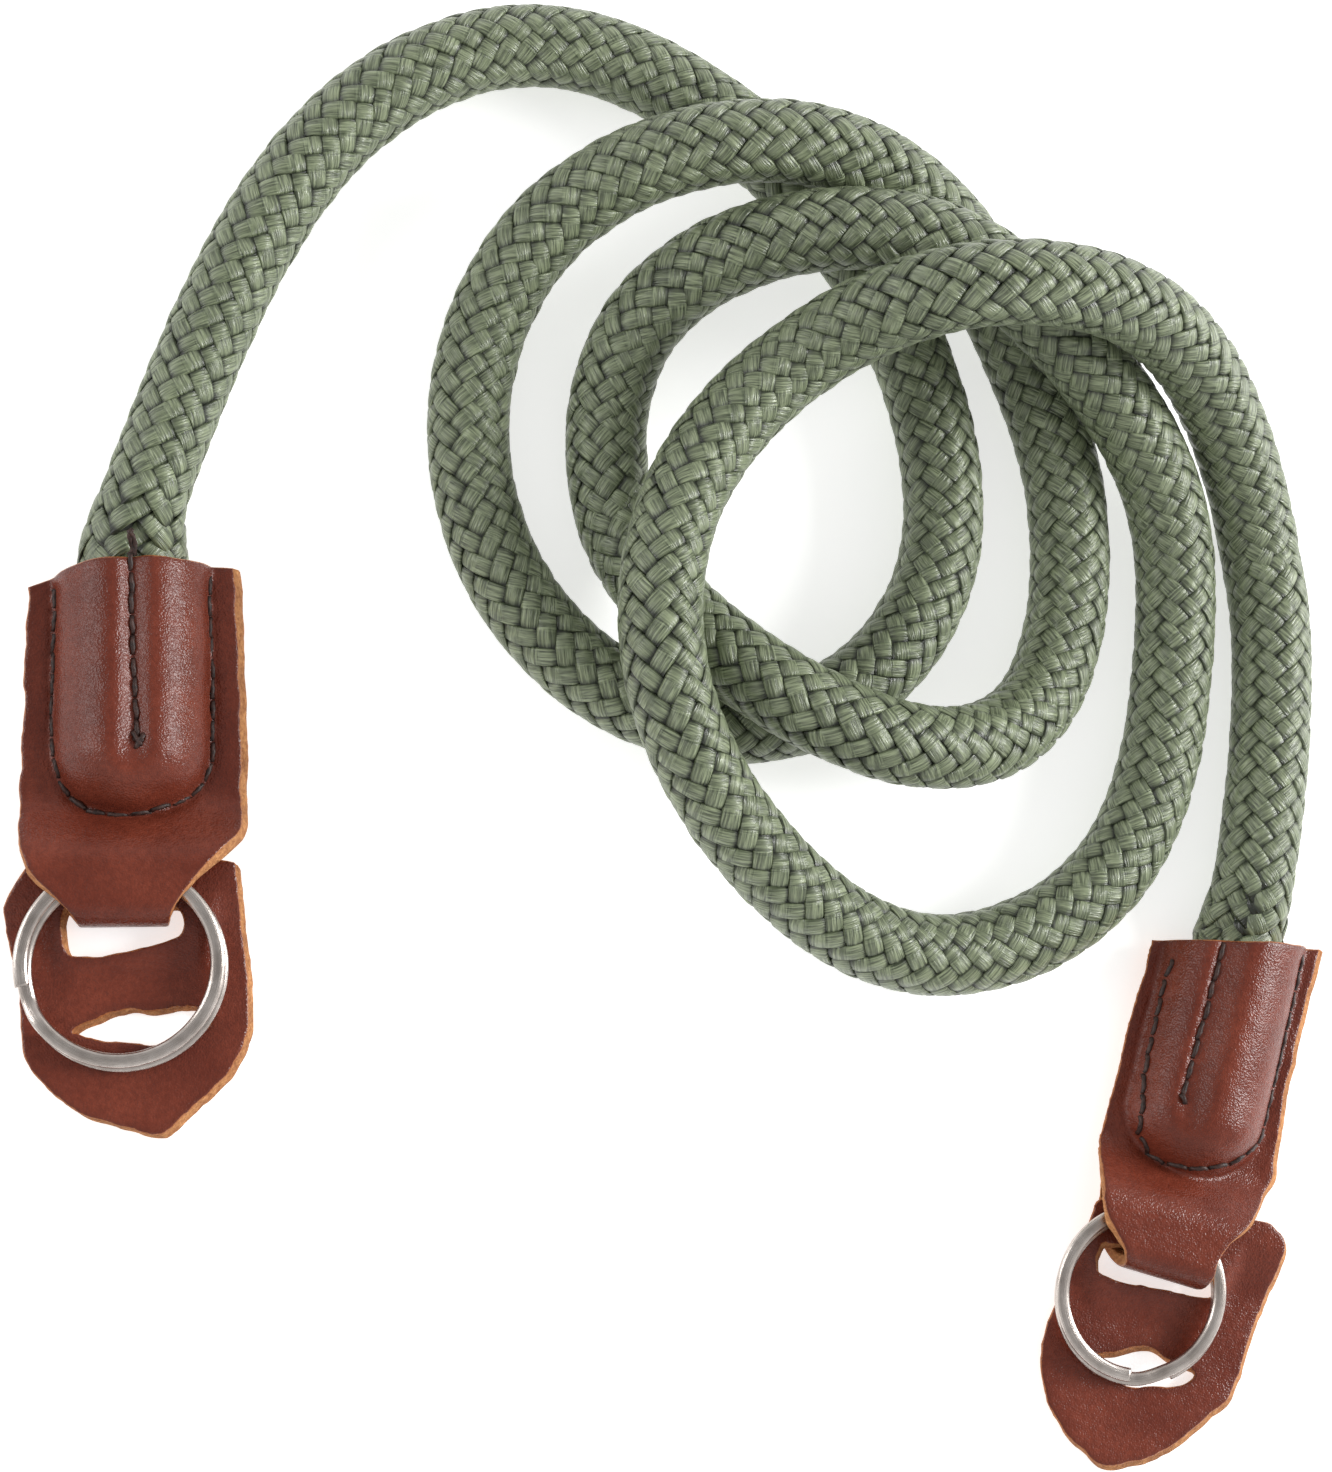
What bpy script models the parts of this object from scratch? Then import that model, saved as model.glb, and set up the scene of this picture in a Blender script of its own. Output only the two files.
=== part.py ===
"""Camera strap of braided round rope, with a folded leather tab, a split ring and a guard pad
at each end.

Metres, +Z up. The strap lies on the plane z = 0, and the origin is under the middle of the box
round the two leather ends and their rings. Each end is modelled in its own frame: +X across
the tab, -Y from the tab's mouth towards its ring, +Z up.
"""

import math

import bmesh
import bpy
import numpy as np
from mathutils import Matrix, Vector, geometry

MM = 0.001

# Running gap between pieces that touch
CLEARANCE = 0.0003

# Rope
ROPE_DIAMETER = 0.010
ROPE_POINTS = 78
ROPE_LOWEST_CENTRE = 0.0051

# Leather tab: one strip folded round the ring and sewn to itself round the rope's end
TAB_LEATHER = 0.0015
TAB_LENGTH = 0.0424
FOLD_REACH = 0.0026
POCKET_WIDTH = 0.0156
POCKET_DEPTH = 0.0281
POCKET_HEIGHT = 0.0070
POCKET_ROUND = 0.0073
POCKET_FULLNESS = 0.6
SEAM_SPREAD = 0.0012
SEAM_BAND = 0.0008
GROOVE_LENGTH = 0.0214
GROOVE_FADE = 0.0035
GROOVE_DEPTH = 0.0026
GROOVE_WIDTH = 0.0016
EYE_RISE_SHARE = 0.464
EYE_LEAD = 0.0009

# Guard pad: one flat piece of leather that hangs by its top strip
PAD_LEATHER = 0.0015
PAD_LENGTH = 0.0316
PAD_WIDTH = 0.0262
STRIP_SHARE = 0.1646
PAD_SAG_START = 0.0015
PAD_SAG_LENGTH = 0.0075
PAD_SIDE_SAG = 0.0045
PAD_SIDE_START = 0.0075
PAD_SIDE_LENGTH = 0.0035
PAD_GRID = 0.0032

# Split ring: two turns of wire with a joggle between them
RING_DIAMETER = 0.0238
WIRE_WIDTH = 0.0019
WIRE_HEIGHT = 0.00105
TURN_GAP = 0.0001
JOGGLE_ANGLE = 24.0
JOGGLE_SPARE = 3.0
RING_STEPS = 64

# Heights that follow from the stack of back leather, pad strip, ring and front leather
RING_HEIGHT = 2 * WIRE_HEIGHT + TURN_GAP
PAD_LIFT = TAB_LEATHER + CLEARANCE
RING_LEAN_ROOM = 0.0003
EYE_HEIGHT = PAD_LEATHER + RING_HEIGHT + 3 * CLEARANCE + RING_LEAN_ROOM
FOLD_CENTRE = TAB_LENGTH - FOLD_REACH
EYE_START = POCKET_DEPTH + SEAM_SPREAD + SEAM_BAND

# The eye first rises and then runs level over the pad's top strip, down to the fold
EYE_RISE = EYE_RISE_SHARE * (FOLD_CENTRE - EYE_START)
STRIP_DEPTH = FOLD_CENTRE - EYE_START - EYE_RISE

# The two ends, cut by hand and so not quite alike. Tables hold shares of the named sizes.
# tab_sides: share of the tab's length, left side and right side as shares of half its width
# mouth: share of half the width, how far the mouth is cut back as a share of the tab's length
# pad_sides: share of the pad's length from its top, left and right as shares of half its width
# slots: across as a share of half the pad's width, down as a share of the pad's length
END_LEFT = {
    "name": "left",
    "place": (-0.0678, 0.0527),
    "turn": 1.4,
    "tab_width": 0.0246,
    "back_spread": 0.0006,
    "groove_side": 0.0002,
    "ring_side": -0.0012,
    "ring_turn": 195.6,
    "pad_turn": 0.0,
    "pad_seat": 0.0,
    "tab_sides": (
        (0.00, -0.95, 0.96),
        (0.15, -0.98, 0.98),
        (0.37, -0.99, 1.01),
        (0.55, -1.01, 1.02),
        (0.74, -1.03, 1.02),
        (0.80, -0.99, 0.82),
        (0.86, -0.90, 0.62),
        (0.94, -0.63, 0.41),
        (1.00, -0.46, 0.36),
    ),
    "mouth": ((-1.0, 0.071), (-0.66, 0.028), (-0.30, 0.007), (0.0, 0.0), (1.0, 0.0)),
    "pad_sides": (
        (0.000, -0.86, 0.92),
        (0.066, -0.97, 0.93),
        (0.161, -1.09, 0.95),
        (0.278, -1.05, 0.97),
        (0.481, -0.95, 1.03),
        (0.623, -0.93, 1.04),
        (0.709, -0.90, 0.95),
        (0.794, -0.76, 0.82),
        (0.864, -0.60, 0.64),
        (0.924, -0.36, 0.47),
        (0.978, 0.05, 0.35),
        (1.000, 0.18, 0.27),
    ),
    "slots": (
        (
            (-0.60, 0.24), (-0.57, 0.33), (-0.50, 0.345), (-0.27, 0.350), (0.0, 0.325),
            (0.34, 0.295), (0.45, 0.275), (0.46, 0.22), (0.41, 0.17), (-0.58, 0.17),
        ),
        (
            (-0.54, 0.615), (-0.30, 0.576), (-0.05, 0.541), (0.04, 0.535), (0.14, 0.551),
            (0.38, 0.535), (0.50, 0.529), (0.66, 0.548), (0.72, 0.59), (0.68, 0.612),
            (0.59, 0.633), (0.42, 0.655), (0.24, 0.674), (-0.26, 0.652), (-0.47, 0.627),
        ),
    ),
}
END_RIGHT = {
    "name": "right",
    "place": (0.0687, 0.0101),
    "turn": -16.3,
    "tab_width": 0.0226,
    "back_spread": 0.0012,
    "groove_side": -0.0030,
    "ring_side": -0.0018,
    "ring_turn": 281.0,
    "pad_turn": 8.0,
    "pad_seat": -0.0008,
    "tab_sides": (
        (0.00, -0.95, 0.97),
        (0.15, -0.96, 0.95),
        (0.37, -0.97, 0.95),
        (0.55, -0.97, 1.00),
        (0.64, -0.98, 1.05),
        (0.74, -0.99, 0.86),
        (0.85, -0.92, 0.57),
        (0.90, -0.78, 0.49),
        (0.94, -0.60, 0.48),
        (1.00, -0.43, 0.48),
    ),
    "mouth": ((-1.0, 0.066), (0.0, 0.0), (1.0, -0.066)),
    "pad_sides": (
        (0.000, -0.68, 1.05),
        (0.060, -0.72, 1.22),
        (0.180, -0.78, 1.19),
        (0.300, -0.84, 1.11),
        (0.480, -0.97, 0.99),
        (0.580, -1.02, 0.95),
        (0.690, -0.99, 0.87),
        (0.790, -0.90, 0.62),
        (0.900, -0.69, 0.34),
        (0.960, -0.48, 0.10),
        (1.000, -0.36, -0.22),
    ),
    "slots": (
        (
            (-0.63, 0.22), (-0.60, 0.28), (-0.36, 0.305), (0.0, 0.310), (0.34, 0.322),
            (0.55, 0.318), (0.60, 0.28), (0.59, 0.20), (0.50, 0.165), (-0.60, 0.165),
        ),
        (
            (-0.52, 0.655), (-0.50, 0.592), (-0.34, 0.582), (-0.11, 0.544), (0.04, 0.538),
            (0.15, 0.563), (0.30, 0.588), (0.47, 0.595), (0.53, 0.623), (0.43, 0.661),
            (0.18, 0.677), (-0.09, 0.696), (-0.24, 0.677),
        ),
    ),
}

# Rope route, millimetres, points chosen along the middle of the lying rope, left tab to right
ROPE_ROUTE_MM = (
    (-66.5, 61.1, 5.1),
    (-56.1, 89.3, 5.1),
    (-41.4, 110.6, 5.1),
    (-20.3, 119.9, 5.1),
    (1.6, 112.9, 5.1),
    (18.1, 98.3, 5.1),
    (28.8, 77.1, 5.1),
    (29.5, 55.2, 5.1),
    (17.6, 39.7, 5.1),
    (-2.4, 36.5, 5.1),
    (-19.4, 46.4, 5.1),
    (-28.7, 70.1, 5.1),
    (-20.7, 94.1, 9.0),
    (-3.9, 103.8, 15.4),
    (14.1, 105.0, 15.8),
    (30.6, 98.4, 9.6),
    (42.2, 81.9, 5.1),
    (47.2, 59.1, 5.1),
    (40.1, 37.6, 8.0),
    (20.9, 32.7, 15.9),
    (2.4, 42.1, 13.4),
    (-10.6, 60.6, 5.1),
    (-8.5, 83.5, 8.0),
    (8.6, 94.0, 15.6),
    (28.1, 92.6, 18.8),
    (45.6, 81.1, 15.5),
    (58.6, 65.1, 8.4),
    (60.2, 43.1, 5.1),
    (49.4, 16.5, 5.1),
    (29.9, 8.2, 5.5),
    (6.7, 17.8, 12.8),
    (-7.0, 38.1, 19.6),
    (-5.3, 59.6, 18.0),
    (9.6, 78.2, 18.5),
    (25.5, 84.4, 28.4),
    (43.6, 85.2, 27.4),
    (62.1, 78.3, 15.2),
    (72.6, 59.6, 5.3),
    (73.4, 38.6, 5.1),
    (70.4, 18.3, 5.2),
)

# Lattice of the tab, as shares: across from the groove to the pocket's side, down the pocket
# and down the eye
ACROSS_SHARES = (0.0, 0.14, 0.34, 0.56, 0.77, 0.91, 1.0)
POCKET_SHARES = (0.0, 0.12, 0.28, 0.44, 0.58, 0.68, 0.76, 0.84, 0.91, 0.96, 1.0)
EYE_SHARES = (0.25, 0.5, 0.75, 1.0)
FOLD_STEPS = 6
EDGE_STRIP = 0.0008
OPEN_FROM = 0.00015

# Rope end: how much of the pocket it fills
ROPE_END_ACROSS = 0.87
ROPE_END_ROWS = 9
ROPE_END_SIDE_ROOM = 0.0003
FLATTENING_SHARES = (0.3, 0.65)


def smooth(share):
    """Ease from 0 to 1."""
    share = min(max(share, 0.0), 1.0)
    return share * share * (3.0 - 2.0 * share)


def read(table, share, column):
    """One column of a table of shares, read between its rows."""
    rows = np.array(table)
    return float(np.interp(share, rows[:, 0], rows[:, column]))


def material(name, colour, roughness, metallic):
    """A plain material."""
    made = bpy.data.materials.new(name)
    made.use_nodes = True
    shader = made.node_tree.nodes["Principled BSDF"]
    shader.inputs["Base Color"].default_value = (*colour, 1.0)
    shader.inputs["Roughness"].default_value = roughness
    shader.inputs["Metallic"].default_value = metallic
    return made


def add_piece(name, points, faces, look, frame):
    """One closed mesh under its end's frame, with its faces pointing out."""
    mesh = bpy.data.meshes.new(name)
    mesh.from_pydata([tuple(point) for point in points], [], faces)
    body = bmesh.new()
    body.from_mesh(mesh)
    bmesh.ops.recalc_face_normals(body, faces=body.faces)
    body.to_mesh(mesh)
    body.free()
    mesh.shade_smooth()
    mesh.set_sharp_from_angle(angle=math.radians(40))
    piece = bpy.data.objects.new(name, mesh)
    mesh.materials.append(look)
    bpy.context.scene.collection.objects.link(piece)
    piece.parent = frame
    return piece


def add_frame(end):
    """The empty that one end's pieces stand in."""
    frame = bpy.data.objects.new("frame_" + end["name"], None)
    frame.location = (*end["place"], 0.0)
    frame.rotation_euler = (0.0, 0.0, math.radians(end["turn"]))
    bpy.context.scene.collection.objects.link(frame)
    return frame


# Leather tab


def bulge(end, down, across, spread):
    """Height of the sewn bulge over the rope's end; it is spread wider outside than inside."""
    half = POCKET_WIDTH / 2 + spread
    round_start = POCKET_DEPTH + spread - POCKET_ROUND
    past = max(0.0, (down - round_start) / POCKET_ROUND)
    fill = 1.0 - (across / half) ** 2 - past**2
    if fill <= 0.0:
        return 0.0
    rise = POCKET_HEIGHT * fill**POCKET_FULLNESS
    beside = (across - end["groove_side"]) / GROOVE_WIDTH
    fade = 1.0 - smooth((down - GROOVE_LENGTH) / GROOVE_FADE)
    return rise - GROOVE_DEPTH * math.exp(-(beside**2)) * fade * fill


def eye_opening(down):
    """How far the front leather stands off the back leather towards the fold."""
    return EYE_HEIGHT * smooth((down - EYE_START) / EYE_RISE)


def tab_columns(end, down):
    """Places across the tab at one distance from its mouth, from its left side to its right."""
    half = end["tab_width"] / 2
    left = half * read(end["tab_sides"], down / TAB_LENGTH, 1)
    right = half * read(end["tab_sides"], down / TAB_LENGTH, 2)
    pocket = POCKET_WIDTH / 2
    outer = pocket + SEAM_SPREAD
    groove = end["groove_side"]
    left_side = [groove - (groove + pocket) * share for share in ACROSS_SHARES]
    right_side = [groove + (pocket - groove) * share for share in ACROSS_SHARES]
    shrink_left = min(1.0, (-left - EDGE_STRIP) / outer)
    shrink_right = min(1.0, (right - EDGE_STRIP) / outer)
    columns = [left, -outer * shrink_left]
    columns += [place * shrink_left for place in reversed(left_side[1:])]
    columns += [groove * shrink_left]
    columns += [place * shrink_right for place in right_side[1:]]
    columns += [outer * shrink_right, right]
    return columns


def tab_rows():
    """Distances from the mouth of the lattice's rows, down to where the fold begins."""
    rows = [POCKET_DEPTH * share for share in POCKET_SHARES]
    rows += [POCKET_DEPTH + SEAM_SPREAD, EYE_START]
    rows += [EYE_START + EYE_RISE * share for share in EYE_SHARES]
    arch = EYE_START + EYE_RISE
    rows += [(arch + FOLD_CENTRE) / 2, FOLD_CENTRE]
    return rows


def cut_back(end, down, across):
    """Distance from the square mouth, moved where the mouth is cut on the slant."""
    slant = TAB_LENGTH * read(end["mouth"], across / (end["tab_width"] / 2), 1)
    return down + slant * max(0.0, 1.0 - down / POCKET_DEPTH) ** 2


def add_tab(end, frame, look):
    """One leather strip: front layer, fold round the ring, back layer, sewn pocket between."""
    points = []

    def point(across, down, up):
        points.append((across, -down, up))
        return len(points) - 1

    rows = tab_rows()
    last = len(rows) - 1
    columns = len(tab_columns(end, 0.0))
    front, under, over, back, is_open = [], [], [], [], []
    for row in rows:
        front_row, under_row, over_row, back_row, open_row = [], [], [], [], []
        for index, across in enumerate(tab_columns(end, row)):
            down = cut_back(end, row, across)
            gap = max(0.0, bulge(end, row, across, 0.0)) + eye_opening(row)
            crown = max(0.0, bulge(end, row, across, SEAM_SPREAD)) + eye_opening(row + EYE_LEAD)
            crown = max(crown, gap)
            open_here = gap > OPEN_FROM
            spread = end["back_spread"] if index == columns - 1 else 0.0
            front_row.append(point(across, down, 2 * TAB_LEATHER + crown))
            back_row.append(point(across + spread, down, 0.0))
            if open_here:
                under_row.append(point(across, down, TAB_LEATHER + gap))
                over_row.append(point(across, down, TAB_LEATHER))
            else:
                seam = point(across, down, TAB_LEATHER)
                under_row.append(seam)
                over_row.append(seam)
            open_row.append(open_here)
        front.append(front_row)
        under.append(under_row)
        over.append(over_row)
        back.append(back_row)
        is_open.append(open_row)

    faces = []

    def quad(a, b, c, d):
        corners = [a, b, c, d]
        kept = [corner for k, corner in enumerate(corners) if corner not in corners[:k]]
        if len(kept) > 2:
            faces.append(kept)

    for i in range(last):
        for j in range(columns - 1):
            corners = ((i, j), (i + 1, j), (i + 1, j + 1), (i, j + 1))
            quad(*[front[a][b] for a, b in corners])
            quad(*[back[a][b] for a, b in corners])
            opened = [is_open[a][b] for a, b in corners]
            if not any(opened):
                continue
            split = (0, 1, 2, 0, 2, 3) if opened[0] or opened[2] else (0, 1, 3, 1, 2, 3)
            for layer in (under, over):
                for k in (0, 3):
                    faces.append([layer[corners[n][0]][corners[n][1]] for n in split[k:k + 3]])

    # The mouth and the two long sides
    for j in range(columns - 1):
        quad(front[0][j], front[0][j + 1], under[0][j + 1], under[0][j])
        quad(over[0][j], over[0][j + 1], back[0][j + 1], back[0][j])
    for j in (0, columns - 1):
        for i in range(last):
            quad(front[i][j], front[i + 1][j], under[i + 1][j], under[i][j])
            quad(over[i][j], over[i + 1][j], back[i + 1][j], back[i][j])

    # The fold, a half ellipse outside and a smaller one inside
    middle = TAB_LEATHER + EYE_HEIGHT / 2
    outside = [front[last]]
    inside = [under[last]]
    for step in range(1, FOLD_STEPS):
        angle = math.pi * step / FOLD_STEPS
        outer_down = FOLD_CENTRE + FOLD_REACH * math.sin(angle)
        inner_down = FOLD_CENTRE + (FOLD_REACH - TAB_LEATHER) * math.sin(angle)
        outer_up = middle * (1.0 + math.cos(angle))
        inner_up = middle + (middle - TAB_LEATHER) * math.cos(angle)
        outside.append([point(x, outer_down, outer_up) for x in tab_columns(end, outer_down)])
        inside.append([point(x, inner_down, inner_up) for x in tab_columns(end, inner_down)])
    outside.append(back[last])
    inside.append(over[last])
    for k in range(FOLD_STEPS):
        for j in range(columns - 1):
            quad(outside[k][j], outside[k + 1][j], outside[k + 1][j + 1], outside[k][j + 1])
            quad(inside[k][j], inside[k + 1][j], inside[k + 1][j + 1], inside[k][j + 1])
        for j in (0, columns - 1):
            quad(outside[k][j], outside[k + 1][j], inside[k + 1][j], inside[k][j])

    add_piece("end_tab_" + end["name"], points, faces, look, frame)


# Rope end inside the tab


def rope_end_row(end, row):
    """Upper and lower points of the flattened rope at one distance from the mouth."""
    past = max(0.0, (row - POCKET_DEPTH + POCKET_ROUND) / POCKET_ROUND)
    narrow = math.sqrt(max(0.05, 1.0 - past**2))
    groove = end["groove_side"]
    limit = POCKET_WIDTH / 2
    shares = [share for share in ACROSS_SHARES if share < ROPE_END_ACROSS] + [ROPE_END_ACROSS]
    left_side = [groove - (groove + limit) * share for share in reversed(shares[1:])]
    right_side = [groove + (limit - groove) * share for share in shares[1:]]
    upper, lower = [], []
    for place in left_side + [groove] + right_side:
        across = place * narrow
        inward = across - math.copysign(ROPE_END_SIDE_ROOM, across)
        outward = across + math.copysign(ROPE_END_SIDE_ROOM, across)
        room = min(bulge(end, row, inward, 0.0), bulge(end, row, outward, 0.0))
        down = cut_back(end, row, across)
        upper.append(Vector((across, -down, TAB_LEATHER + room - CLEARANCE)))
        lower.append(Vector((across, -down, TAB_LEATHER + CLEARANCE)))
    return upper, lower


def add_rope_end(end, frame, look, start, heading):
    """The rope's end, from the round rope outside the mouth to the two lobes in the pocket."""
    turn = Matrix.Rotation(-math.radians(end["turn"]), 3, "Z")
    place = Vector((*end["place"], 0.0))
    centre = turn @ (start - heading * CLEARANCE - place)
    ahead = turn @ heading
    side = Vector((0.0, 0.0, 1.0)).cross(ahead).normalized() * -1.0
    up = side.cross(ahead)
    if up.z < 0.0:
        up = -up
    upper, lower = rope_end_row(end, 0.0)
    count = len(upper)
    radius = ROPE_DIAMETER / 2
    round_upper, round_lower = [], []
    for k in range(count):
        angle = math.pi * (k + 0.5) / count
        reach = side * (-math.cos(angle) * radius)
        if side.x < 0.0:
            reach = -reach
        lift = up * (math.sin(angle) * radius)
        round_upper.append(centre + reach + lift)
        round_lower.append(centre + reach - lift)
    rings = [round_upper + round_lower[::-1]]
    for share in FLATTENING_SHARES:
        blend = smooth(share)
        flat = upper + lower[::-1]
        rings.append([a.lerp(b, blend) for a, b in zip(rings[0], flat)])
    for share in POCKET_SHARES[:ROPE_END_ROWS]:
        upper, lower = rope_end_row(end, POCKET_DEPTH * share)
        rings.append(upper + lower[::-1])
    size = len(rings[0])
    points = [point for ring in rings for point in ring]
    faces = [list(range(size))]
    for k in range(len(rings) - 1):
        for j in range(size):
            n = (j + 1) % size
            faces.append([k * size + j, k * size + n, (k + 1) * size + n, (k + 1) * size + j])
    faces.append([(len(rings) - 1) * size + j for j in range(size)])
    add_piece("rope_end_" + end["name"], points, faces, look, frame)


# Guard pad


def pad_height(across, down):
    """Height of the pad's back: over the tab's back layer, then down to the surface."""
    start = PAD_SAG_START - PAD_SIDE_SAG * smooth((abs(across) - PAD_SIDE_START) / PAD_SIDE_LENGTH)
    return PAD_LIFT * (1.0 - smooth((down - start) / PAD_SAG_LENGTH))


def is_inside(place, outline):
    """Whether a point lies inside a closed outline."""
    inside = False
    before = outline[-1]
    for corner in outline:
        if (corner[1] > place[1]) != (before[1] > place[1]):
            share = (place[1] - before[1]) / (corner[1] - before[1])
            if place[0] < before[0] + share * (corner[0] - before[0]):
                inside = not inside
        before = corner
    return inside


def pad_down(share):
    """Distance below the top strip's lower edge, from a share of the pad's length."""
    if share < STRIP_SHARE:
        return STRIP_DEPTH * (share / STRIP_SHARE - 1.0)
    return (PAD_LENGTH - STRIP_DEPTH) * (share - STRIP_SHARE) / (1.0 - STRIP_SHARE)


def pad_outline(end):
    """The pad's edge, across and down from the lower edge of its top strip."""
    half = PAD_WIDTH / 2
    rows = end["pad_sides"]
    left = [(half * row[1], pad_down(row[0])) for row in rows]
    right = [(half * row[2], pad_down(row[0])) for row in rows]
    return left + right[::-1]


def pad_slots(end):
    """The two slots' edges, in the same places as the outline."""
    half = PAD_WIDTH / 2
    return [[(half * across, pad_down(down)) for across, down in slot] for slot in end["slots"]]


def distance_to(place, outline):
    """Shortest distance from a point to an outline's sides."""
    least = PAD_LENGTH
    before = Vector(outline[-1])
    for corner in outline:
        corner = Vector(corner)
        nearest, share = geometry.intersect_point_line(Vector(place), before, corner)
        nearest = before.lerp(corner, min(max(share, 0.0), 1.0))
        least = min(least, (Vector(place) - nearest).length)
        before = corner
    return least


def add_pad(end, frame, look):
    """The guard pad: cut outline and slots, bent over the tab's back layer."""
    outline = pad_outline(end)
    slots = pad_slots(end)
    flat = [Vector(corner) for corner in outline]
    edges = [(k, (k + 1) % len(outline)) for k in range(len(outline))]
    for slot in slots:
        first = len(flat)
        flat += [Vector(corner) for corner in slot]
        edges += [(first + k, first + (k + 1) % len(slot)) for k in range(len(slot))]
    steps_across = int(PAD_WIDTH / PAD_GRID) + 2
    steps_down = int(PAD_LENGTH / PAD_GRID) + 1
    for i in range(-steps_across, steps_across + 1):
        for k in range(steps_down + 1):
            place = (i * PAD_GRID, k * PAD_GRID - STRIP_DEPTH)
            clear = min(distance_to(place, edge) for edge in [outline] + slots)
            in_slot = any(is_inside(place, slot) for slot in slots)
            if is_inside(place, outline) and not in_slot and clear > PAD_GRID / 3:
                flat.append(Vector(place))
    corners, _, triangles, *_ = geometry.delaunay_2d_cdt(flat, edges, [], 1, 1e-7)
    solid = []
    for triangle in triangles:
        middle = sum((corners[n] for n in triangle), Vector((0.0, 0.0))) / 3
        if is_inside(middle, outline) and not any(is_inside(middle, slot) for slot in slots):
            solid.append(list(triangle))

    turn = Matrix.Rotation(math.radians(end["pad_turn"]), 2)
    hang = FOLD_CENTRE + end["pad_seat"]
    points = []
    for lift in (0.0, PAD_LEATHER):
        for corner in corners:
            placed = turn @ Vector((corner.x, -corner.y))
            height = pad_height(corner.x, corner.y) + lift
            points.append((placed.x, placed.y - hang, height))
    count = len(corners)
    faces = []
    sides = {}
    for triangle in solid:
        faces.append(triangle)
        faces.append([n + count for n in reversed(triangle)])
        for k in range(3):
            a, b = triangle[k], triangle[(k + 1) % 3]
            sides[(a, b)] = True
    for a, b in sides:
        if (b, a) not in sides:
            faces.append([a, b, b + count, a + count])
    add_piece("guard_pad_" + end["name"], points, faces, look, frame)


# Split ring


def add_ring(end, frame, look):
    """Two turns of wire; the joggle takes the wire from the upper turn to the lower."""
    middle_radius = (RING_DIAMETER - WIRE_WIDTH) / 2
    pitch = WIRE_HEIGHT + TURN_GAP
    wire = (
        (-0.5, -0.3), (-0.5, 0.3), (-0.25, 0.5), (0.25, 0.5),
        (0.5, 0.3), (0.5, -0.3), (0.25, -0.5), (-0.25, -0.5),
    )
    ring_down = EYE_START + EYE_RISE + RING_DIAMETER / 2
    high = PAD_LIFT + PAD_LEATHER + CLEARANCE + RING_HEIGHT / 2 + RING_LEAN_ROOM / 2
    low = PAD_LEATHER + CLEARANCE + RING_HEIGHT / 2
    lean = math.atan2(high - low, RING_DIAMETER - WIRE_WIDTH)
    level = (high + low) / 2
    place = (
        Matrix.Translation((end["ring_side"], -ring_down, level))
        @ Matrix.Rotation(lean, 4, "X")
        @ Matrix.Rotation(math.radians(end["ring_turn"]), 4, "Z")
    )
    whole = 720.0 - JOGGLE_ANGLE - 2 * JOGGLE_SPARE
    points = []
    for step in range(RING_STEPS + 1):
        turn = JOGGLE_SPARE + whole * step / RING_STEPS
        share = (turn - (360.0 - JOGGLE_ANGLE)) / JOGGLE_ANGLE
        height = pitch * (0.5 - smooth(share))
        angle = -math.radians(turn)
        for out, up in wire:
            radius = middle_radius + out * WIRE_WIDTH
            spot = Vector((radius * math.cos(angle), radius * math.sin(angle), 0.0))
            spot.z = height + up * WIRE_HEIGHT
            points.append(place @ spot)
    size = len(wire)
    faces = [list(range(size))]
    for step in range(RING_STEPS):
        for j in range(size):
            n = (j + 1) % size
            a, b = step * size, (step + 1) * size
            faces.append([a + j, a + n, b + n, b + j])
    faces.append([RING_STEPS * size + j for j in range(size)])
    add_piece("split_ring_" + end["name"], points, faces, look, frame)


# Rope


def curve_through(points, count):
    """Evenly spaced points on a natural cubic curve through the given points."""
    knots = np.array(points)
    chords = np.linalg.norm(np.diff(knots, axis=0), axis=1)
    along = np.concatenate([[0.0], np.cumsum(chords)])
    size = len(knots)
    matrix = np.zeros((size, size))
    wanted = np.zeros((size, 3))
    matrix[0, 0] = matrix[-1, -1] = 1.0
    for i in range(1, size - 1):
        matrix[i, i - 1] = chords[i - 1]
        matrix[i, i] = 2.0 * (chords[i - 1] + chords[i])
        matrix[i, i + 1] = chords[i]
        ahead = (knots[i + 1] - knots[i]) / chords[i]
        behind = (knots[i] - knots[i - 1]) / chords[i - 1]
        wanted[i] = 6.0 * (ahead - behind)
    bend = np.linalg.solve(matrix, wanted)
    places = np.linspace(0.0, along[-1], count)
    span = np.clip(np.searchsorted(along, places, side="right") - 1, 0, size - 2)
    length = chords[span][:, None]
    start = ((along[span + 1] - places) / chords[span])[:, None]
    stop = 1.0 - start
    result = start * knots[span] + stop * knots[span + 1]
    result += ((start**3 - start) * bend[span] + (stop**3 - stop) * bend[span + 1]) * length**2 / 6
    return result


def rope_points():
    """The rope's centre line, which never sinks below where it lies on the surface."""
    route = [[value * MM for value in point] for point in ROPE_ROUTE_MM]
    points = curve_through(route, ROPE_POINTS)
    points[:, 2] = np.maximum(points[:, 2], ROPE_LOWEST_CENTRE)
    return [Vector(point) for point in points]


def add_rope(points, look):
    """The free stretch of rope as a round tube."""
    data = bpy.data.curves.new("rope", "CURVE")
    data.dimensions = "3D"
    data.bevel_depth = ROPE_DIAMETER / 2
    data.bevel_resolution = 2
    data.use_fill_caps = True
    line = data.splines.new("POLY")
    line.points.add(len(points) - 1)
    for spot, point in zip(line.points, points):
        spot.co = (*point, 1.0)
    data.materials.append(look)
    rope = bpy.data.objects.new("rope", data)
    bpy.context.scene.collection.objects.link(rope)


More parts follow.
